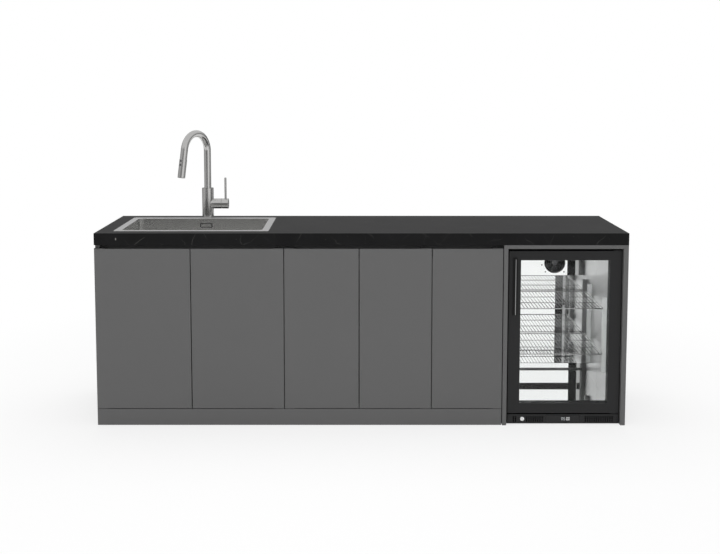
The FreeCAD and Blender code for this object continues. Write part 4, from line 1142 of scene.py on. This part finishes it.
def slotted_strip(left, start, end, pitch):
    """One folded strip: a face with slots and two flanges back to the wall."""
    size = end - start
    sheet, slot_margin = 0.001, 0.0048
    strip = fresh(
        "strip", bpy.ops.mesh.primitive_grid_add,
        x_subdivisions=1, y_subdivisions=int(size.z / pitch), size=1, location=(0, 0, 0),
    )
    inner, wall, facing = (end.x, start.x, 1) if left else (start.x, end.x, -1)
    strip.matrix_world = (
        Matrix.Translation((inner, (start.y + end.y) / 2, (start.z + end.z) / 2))
        @ Matrix.Rotation(math.radians(90 * facing), 4, "Y")
        @ Matrix.Diagonal((size.z, size.y, 1, 1))
        @ Matrix.Rotation(math.radians(90), 4, "Z")
    )
    settle()
    edit(strip)
    outward()
    bpy.ops.mesh.inset(thickness=slot_margin, use_individual=True)
    bpy.ops.mesh.delete(type="FACE")

    def long_side(edge):
        at = middle(edge).y
        return edge.is_boundary and min(abs(at - start.y), abs(at - end.y)) < SAME and runs_along(Z)(edge)

    pick(strip, "EDGE", long_side)
    pull((wall - inner, 0, 0))
    outward()
    leave()
    modify(strip, "SOLIDIFY", thickness=sheet, offset=0.0)
    strip.location.x = -facing * sheet / 2
    take(strip)
    settle()
    return strip


def evaporator_cover():
    """The polished cover with softened front edges."""
    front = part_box("evaporator_cover")[0].y
    softened(
        "evaporator_cover", "liner steel", 0.0008, 2,
        lambda edge: runs_along(X)(edge) and middle(edge).y < front + CLOSE,
    )


def fan_guard(size, at):
    """Rings, spokes and a boss in front of the fan."""
    pieces = []
    ring_wire, ring_gap, ring_depth = 0.0011, 0.009, 0.0022
    spoke_wire, spoke_start, spoke_depth = 0.0012, 0.012, 0.0016
    boss_depth = 0.0024
    for count in range(size.guard_rings):
        pieces.append(fresh(
            "ring", bpy.ops.mesh.primitive_torus_add,
            major_segments=64, minor_segments=8, minor_radius=ring_wire,
            major_radius=size.guard - ring_gap * count, location=(at.x, at.y + ring_depth, at.z),
            rotation=(math.radians(90), 0, 0),
        ))
    hub = at + Vector((0, spoke_depth, 0))
    for step in range(8):
        turn = math.radians(45 * step + 22.5)
        out = Vector((math.cos(turn), 0, math.sin(turn)))
        end = hub + out * (size.guard + 0.001)
        pieces.append(rod("spoke", hub + out * spoke_start, end, spoke_wire))
    boss = turned("boss", [(0.0155, 0.0), (0.0155, 0.0012), (0.0140, 0.0022), (0.002, 0.0024)], 32)
    stand(boss, tipped((at.x, at.y + boss_depth, at.z), 90))
    pieces.append(boss)
    take(*pieces)
    settle()
    done(join("fan_guard", *pieces), "guard grey", RUN, "fan_black", crease=50, weighted=False)


def fan_cup(at):
    """The dark cup behind the guard."""
    depth = 0.0043
    cup = turned(
        "fan_cup", [(0.0575, 0.046), (0.0575, 0.0), (0.0540, 0.0), (0.0530, 0.042), (0.004, 0.043)], 48
    )
    stand(cup, tipped((at.x, at.y + depth, at.z), -90))
    done(cup, "fan black", RUN, "fan_black")


def cover_screws(at):
    """Screws round the fan."""
    screw = turned(
        "screw", [(0.0036, 0.0), (0.0034, 0.0008), (0.0020, 0.0013), (0.0016, 0.0007), (0.0003, 0.0007)], 14
    )
    stand(screw, tipped((0, 0, 0), 90))
    ring = 0.066
    turns = [math.radians(degrees) for degrees in (10, -45, 190, 225, 62, 118)]
    places = [at + Vector((math.cos(turn), 0, math.sin(turn))) * ring for turn in turns]
    done(scattered("cover_screws", screw, places), "fan black", RUN, "fan_black")


# Door and controls of the fridge
def fridge_door(size):
    """A door frame with softened faces and a grey back, and its gasket; the frame's bevel faces take a
    lighter, glossier black, a painted highlight.
    """
    low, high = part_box("fridge_door_frame")

    def on_faces(edge):
        at = middle(edge)
        return edge.calc_length() > 0.02 and not low.y + CLOSE <= at.y <= high.y - CLOSE

    door = softened("fridge_door_frame", "fridge black", size.edge, 3, on_faces, "fridge edge")
    paint_faces(door, "frame back", lambda face: face.normal.y > 0.9)
    softened("fridge_door_gasket", "gasket rubber", 0.0028, 3)


def fridge_handle(size):
    """A dark bar with a painted highlight: a bright strip down the middle of its front."""
    handle = softened("fridge_handle", "gasket rubber", 0.0011, 3)
    edit(handle)
    pick(handle, "FACE", lambda face: face.normal.y < -0.9 and face.calc_area() > 0.0005)
    bpy.ops.mesh.inset(thickness=size.highlight_inset)
    leave()
    centre = centre_of("fridge_handle")

    # The faces of the painted highlight: the middle of the handle's front
    def on_painted_highlight(face):
        off = face.calc_center_median() - centre
        return face.normal.y < -0.9 and abs(off.x) < 0.001 and abs(off.z) < 0.02

    paint_faces(handle, "handle bead", on_painted_highlight)


def controls():
    """Vent panel, control panel, lock and keys."""
    for node, finish, radius, segments, shortest in (
        ("vent_panel", "moulded plastic", 0.0012, 2, 0.033),
        ("control_panel", "window black", 0.0003, 1, 0.02),
    ):
        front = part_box(node)[0].y
        softened(
            node, finish, radius, segments,
            lambda edge: edge.calc_length() > shortest and middle(edge).y < front + CLOSE,
        )
    softened("lock_barrel", "upright steel", 0.0006, 2)
    for count in range(1, 5):
        softened(f"control_key_{count}", "key grey", 0.0006, 2)


def display():
    """Two seven-bar figures and a pilot light on the panel's face."""
    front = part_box("control_panel")[0].y
    key_low, key_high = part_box("control_key_1")
    up = (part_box("control_key_3")[0].z + key_high.z) / 2
    key_gap, light_gap = 0.006, 0.031
    right = key_low.x - key_gap
    tall, wide, bar, between = 0.0066, 0.0070, 0.0011, 0.003
    proud, sunk = 0.0003, 0.0002
    flat_bar = Vector((wide / 2 - bar, 0, bar / 2))
    tall_bar = Vector((bar / 2, 0, tall / 2 - bar / 2))
    spots = {
        "a": (0, 1, flat_bar), "g": (0, 0, flat_bar), "d": (0, -1, flat_bar), "f": (-1, 0.5, tall_bar),
        "b": (1, 0.5, tall_bar), "e": (-1, -0.5, tall_bar), "c": (1, -0.5, tall_bar),
    }
    bars = []
    for place, lit in enumerate(("acdfg", "abcdef")):
        centre = right - wide / 2 - place * (wide + between)
        for name in lit:
            across, height, half = spots[name]
            x = centre + across * (wide / 2 - bar / 2)
            z = up + height * (tall - bar / 2)
            bars.append(block(
                "bar", (x - half.x, front - proud, z - half.z), (x + half.x, front + sunk, z + half.z)
            ))
    figures = join("display_figures", *bars)
    round_edges(figures, 0.0001, 1)
    done(figures, "lit digits", RUN, "key_plastic")
    light = turned(
        "pilot_light", [(0.0021, -0.0002), (0.0021, 0.0003), (0.0016, 0.0007), (0.0003, 0.0009)], 20
    )
    stand(light, tipped((right - light_gap, front, up), 90))
    done(light, "window black", RUN, "panel_plastic")


# Studio
def studio_floor(colour):
    """A pale floor that is white to the camera away from the kitchen and keeps its shadow."""
    floor = fresh(
        "studio_floor", bpy.ops.mesh.primitive_circle_add,
        vertices=96, radius=7.0, fill_type="NGON", location=(0, 0, 0),
    )
    tree, shader, vector = blank("studio floor")
    tint = tinted(tree, vector, (*colour, 1), 0.6, 0.02)
    feed(tree, shader, {"Base Color": tint, "Roughness": 0.9, "Specular IOR Level": 0.0})
    path = add(tree, "LightPath")
    seen = most(tree, path["Is Camera Ray"], path["Is Glossy Ray"], path["Is Transmission Ray"])
    white = add(tree, "Emission", {"Color": (1, 1, 1, 1), "Strength": 1.0})
    reach = add(tree, "VectorMath", {0: vector}, operation="LENGTH")["Value"]
    shade_end, white_start, shade = 1.3, 3.0, 0.72
    far = ranged(tree, reach, shade_end, white_start, shade, 1.0, "SMOOTHSTEP")
    parts = axes(tree, vector)
    under = 1.0
    for axis, edge in (("X", CAD_BOX[1][0] - 0.02), ("Y", CAD_BOX[1][1] - 0.03)):
        under = times(tree, calc(tree, "LESS_THAN", calc(tree, "ABSOLUTE", parts[axis]), edge), under)
    share = times(tree, times(tree, seen, far), calc(tree, "SUBTRACT", 1.0, under))
    show(tree, share, shader, white[0])
    floor.data.materials.append(FINISH["studio floor"])


def studio_world(scene, fill):
    """An even white studio; polished metal also sees its darker walls near the horizon."""
    world = bpy.data.worlds.new("studio")
    scene.world = world
    world.use_nodes = True
    tree = world.node_tree
    parts = axes(tree, add(tree, "TexCoord")["Generated"])
    around = calc(tree, "ARCTAN2", parts["X"], times(tree, parts["Y"], -1.0))
    walls = add(tree, "ValToRGB", {0: ranged(tree, around, -math.pi, math.pi)})[0]
    stops = (
        (-180, 0.16), (-140, 0.20), (-105, 0.48), (-50, 0.52), (-28, 0.14), (4, 0.12), (22, 0.95),
        (62, 0.95), (80, 0.40), (120, 0.36), (150, 0.16),
    )
    elements = walls.node.color_ramp.elements
    for count, (degrees, lightness) in enumerate(stops):
        spot = (degrees + 180) / 360
        stop = elements[count] if count < 2 else elements.new(spot)
        stop.position = spot
        stop.color = grey(lightness)
    dome = ranged(tree, calc(tree, "ABSOLUTE", parts["Z"]), 0.17, 0.42, kind="SMOOTHSTEP")
    path = add(tree, "LightPath")
    lit = mixed(tree, path["Is Glossy Ray"], grey(fill), mixed(tree, dome, walls, grey(0.8)))
    plain = most(tree, path["Is Camera Ray"], path["Is Transmission Ray"])
    feed(tree, tree.nodes["Background"], {"Color": mixed(tree, plain, lit, grey(1.0))})


def flag(name, along, low, high, lightness):
    """A studio flag in front of the fridge that only shows through its glass."""
    piece = fresh(name, bpy.ops.mesh.primitive_plane_add, size=1, rotation=(math.radians(90), 0, 0))
    piece.location = ((low[0] + high[0]) / 2, along, (low[1] + high[1]) / 2)
    piece.scale = (high[0] - low[0], high[1] - low[1], 1)
    settle()
    tree, shader, vector = blank(name)
    feed(tree, shader, {
        "Emission Color": tinted(tree, vector, grey(lightness), 2.0, 0.1),
        "Emission Strength": 1.0,
        "Base Color": grey(0.0),
        "Specular IOR Level": 0.0,
    })
    piece.data.materials.append(FINISH[name])
    for kind in ("camera", "diffuse", "glossy", "shadow"):
        setattr(piece, f"visible_{kind}", False)


def lamp(name, place, aim, size, power):
    """A square softbox that isn't seen itself."""
    light = bpy.data.lights.new(name, "AREA")
    light.shape = "SQUARE"
    light.size = size
    light.energy = power
    holder = bpy.data.objects.new(name, light)
    holder.location = place
    holder.rotation_euler = (Vector(aim) - Vector(place)).to_track_quat("-Z", "Y").to_euler()
    for kind in ("camera", "glossy", "transmission"):
        setattr(holder, f"visible_{kind}", False)
    bpy.context.scene.collection.objects.link(holder)


def studio_camera(scene, studio):
    camera = bpy.data.cameras.new("camera")
    camera.lens = studio.lens
    camera.sensor_width = 36.0
    camera.shift_x = studio.slide
    camera.shift_y = studio.rise
    holder = bpy.data.objects.new("camera", camera)
    holder.location = (studio.camera_x, studio.camera_y, studio.camera_z)
    holder.rotation_euler = (math.radians(90) - studio.pitch, 0, 0)
    scene.collection.objects.link(holder)
    scene.camera = holder
    scene.view_settings.view_transform = "Standard"


# Operators, panel and registration
class KITCHEN_OT_finishes(bpy.types.Operator):
    """Mix the finishes and paint the CAD parts that keep their shape"""

    bl_idname = "kitchen.finishes"
    bl_label = "Finishes"

    def execute(self, context):
        colours = context.scene.kitchen_colours
        for make in (cloudy_tint, fine_grain, smudges, pane_glass, braided_hose, lit_digits):
            make()
        black_stone(colours)
        liner_steel(colours.liner)
        plain_finishes(colours)
        for finish, nodes in PAINTED.items():
            paint(finish, *nodes)
        return {"FINISHED"}


class KITCHEN_OT_stone_top(bpy.types.Operator):
    """Stone worktop: one mitred top with an apron, cut for the sink and the tap"""

    bl_idname = "kitchen.stone_top"
    bl_label = "Stone top"

    def execute(self, context):
        stone_top(context.scene.kitchen_top, context.scene.kitchen_sink)
        return {"FINISHED"}


class KITCHEN_OT_fronts(bpy.types.Operator):
    """Doors, plinth and end panels with softened edges in a lighter lacquer that is partly edge wear and
    partly a painted highlight, and the fittings of the back
    """

    bl_idname = "kitchen.fronts"
    bl_label = "Doors and panels"

    def execute(self, context):
        fronts(context.scene.kitchen_top.door_edge)
        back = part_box("cupboard_backs")[1].y
        rear_screws(back)
        service_collars(back)
        return {"FINISHED"}


class KITCHEN_OT_sink(bpy.types.Operator):
    """Pressed sink bowl with a flat rim, overflow and waste"""

    bl_idname = "kitchen.sink"
    bl_label = "Sink"

    def execute(self, context):
        size = context.scene.kitchen_sink
        sink_bowl(size)
        overflow_cover(size)
        softened("sink_waste", "sink steel", 0.0008, 2, lambda edge: middle(edge).z > size.floor - 0.001)
        return {"FINISHED"}


class KITCHEN_OT_tap(bpy.types.Operator):
    """Tap body, lever, gooseneck spout, spray head and hose"""

    bl_idname = "kitchen.tap"
    bl_label = "Tap"

    def execute(self, context):
        size = context.scene.kitchen_tap
        tap_body()
        lever_rod(size.lever)
        spout_tube(size)
        place = head_place(size)
        spray_head(size, place)
        spray_nozzles(size, place)
        for count in (1, 2):
            softened(f"spray_button_{count}", "button grey", 0.0014, 3)
        pull_hose(size, place)
        return {"FINISHED"}


class KITCHEN_OT_fridge_inside(bpy.types.Operator):
    """Wire shelves, slotted uprights, evaporator cover and fan of the fridge"""

    bl_idname = "kitchen.fridge_inside"
    bl_label = "Fridge inside"

    def execute(self, context):
        size = context.scene.kitchen_fridge
        for shelf in SHELVES:
            wire_shelf(shelf, size)
        uprights(size)
        evaporator_cover()
        fan = centre_of("fan_rotor")
        fan.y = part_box("evaporator_cover")[0].y
        fan_guard(size, fan)
        fan_cup(fan)
        cover_screws(fan)
        return {"FINISHED"}


class KITCHEN_OT_fridge_door(bpy.types.Operator):
    """Door frame, gasket and handle of the fridge"""

    bl_idname = "kitchen.fridge_door"
    bl_label = "Fridge door"

    def execute(self, context):
        fridge_door(context.scene.kitchen_fridge)
        fridge_handle(context.scene.kitchen_fridge)
        return {"FINISHED"}


class KITCHEN_OT_controls(bpy.types.Operator):
    """Vent panel, lock, control panel with keys, display and pilot light"""

    bl_idname = "kitchen.controls"
    bl_label = "Vent panel and controls"

    def execute(self, context):
        controls()
        display()
        return {"FINISHED"}


class KITCHEN_OT_studio(bpy.types.Operator):
    """Pale floor, soft light and the camera"""

    bl_idname = "kitchen.studio"
    bl_label = "Studio"

    def execute(self, context):
        scene = context.scene
        studio = scene.kitchen_studio
        studio_floor(scene.kitchen_colours.floor)
        studio_world(scene, studio.fill)
        flag("fridge_flag", -0.62, (1.174, 0.0), (1.220, 1.4), 0.012)
        flag("fridge_card", -0.63, (1.220, 0.0), (2.2, 1.4), 0.40)
        flag("fridge_low_flag", -1.48, (0.70, 0.538), (1.45, 0.582), 0.02)
        flag("fridge_side_flag", -0.61, (1.220, 0.278), (2.1, 0.316), 0.02)
        lamp("front_softbox", (-0.4, -4.2, 3.1), (0.0, 0.0, 0.45), 3.6, studio.key)
        lamp("ceiling_softbox", (0.0, 0.6, 4.2), (0.0, 0.0, 0.6), 3.4, studio.top)
        lamp("fridge_light", (0.9585, -0.215, 0.795), (0.9585, 0.02, 0.42), 0.12, studio.fridge)
        studio_camera(scene, studio)
        return {"FINISHED"}


HOLDERS = {
    "kitchen_colours": KitchenColours,
    "kitchen_top": KitchenTop,
    "kitchen_sink": KitchenSink,
    "kitchen_tap": KitchenTap,
    "kitchen_fridge": KitchenFridge,
    "kitchen_studio": KitchenStudio,
}
OPERATORS = (
    KITCHEN_OT_finishes,
    KITCHEN_OT_stone_top,
    KITCHEN_OT_fronts,
    KITCHEN_OT_sink,
    KITCHEN_OT_tap,
    KITCHEN_OT_fridge_inside,
    KITCHEN_OT_fridge_door,
    KITCHEN_OT_controls,
    KITCHEN_OT_studio,
)


class KITCHEN_PT_sidebar(bpy.types.Panel):
    """Operators and sizes of the kitchen"""

    bl_idname = "KITCHEN_PT_sidebar"
    bl_label = "Outdoor kitchen"
    bl_space_type = "VIEW_3D"
    bl_region_type = "UI"
    bl_category = "Kitchen"

    def draw(self, context):
        for operator in OPERATORS:
            self.layout.operator(operator.bl_idname)
        for name in HOLDERS:
            settings = getattr(context.scene, name)
            box = self.layout.box()
            for key in settings.__annotations__:
                box.prop(settings, key)


CLASSES = (*HOLDERS.values(), *OPERATORS, KITCHEN_PT_sidebar)


def register():
    for item in CLASSES:
        bpy.utils.register_class(item)
    for name, group in HOLDERS.items():
        setattr(bpy.types.Scene, name, PointerProperty(type=group))


def unregister():
    for name in HOLDERS:
        delattr(bpy.types.Scene, name)
    for item in reversed(CLASSES):
        bpy.utils.unregister_class(item)


def main():
    register()
    bpy.ops.kitchen.finishes()
    bpy.ops.kitchen.stone_top()
    bpy.ops.kitchen.fronts()
    bpy.ops.kitchen.sink()
    bpy.ops.kitchen.tap()
    bpy.ops.kitchen.fridge_inside()
    bpy.ops.kitchen.fridge_door()
    bpy.ops.kitchen.controls()
    bpy.ops.kitchen.studio()
    deselect()


if __name__ == "__main__":
    main()
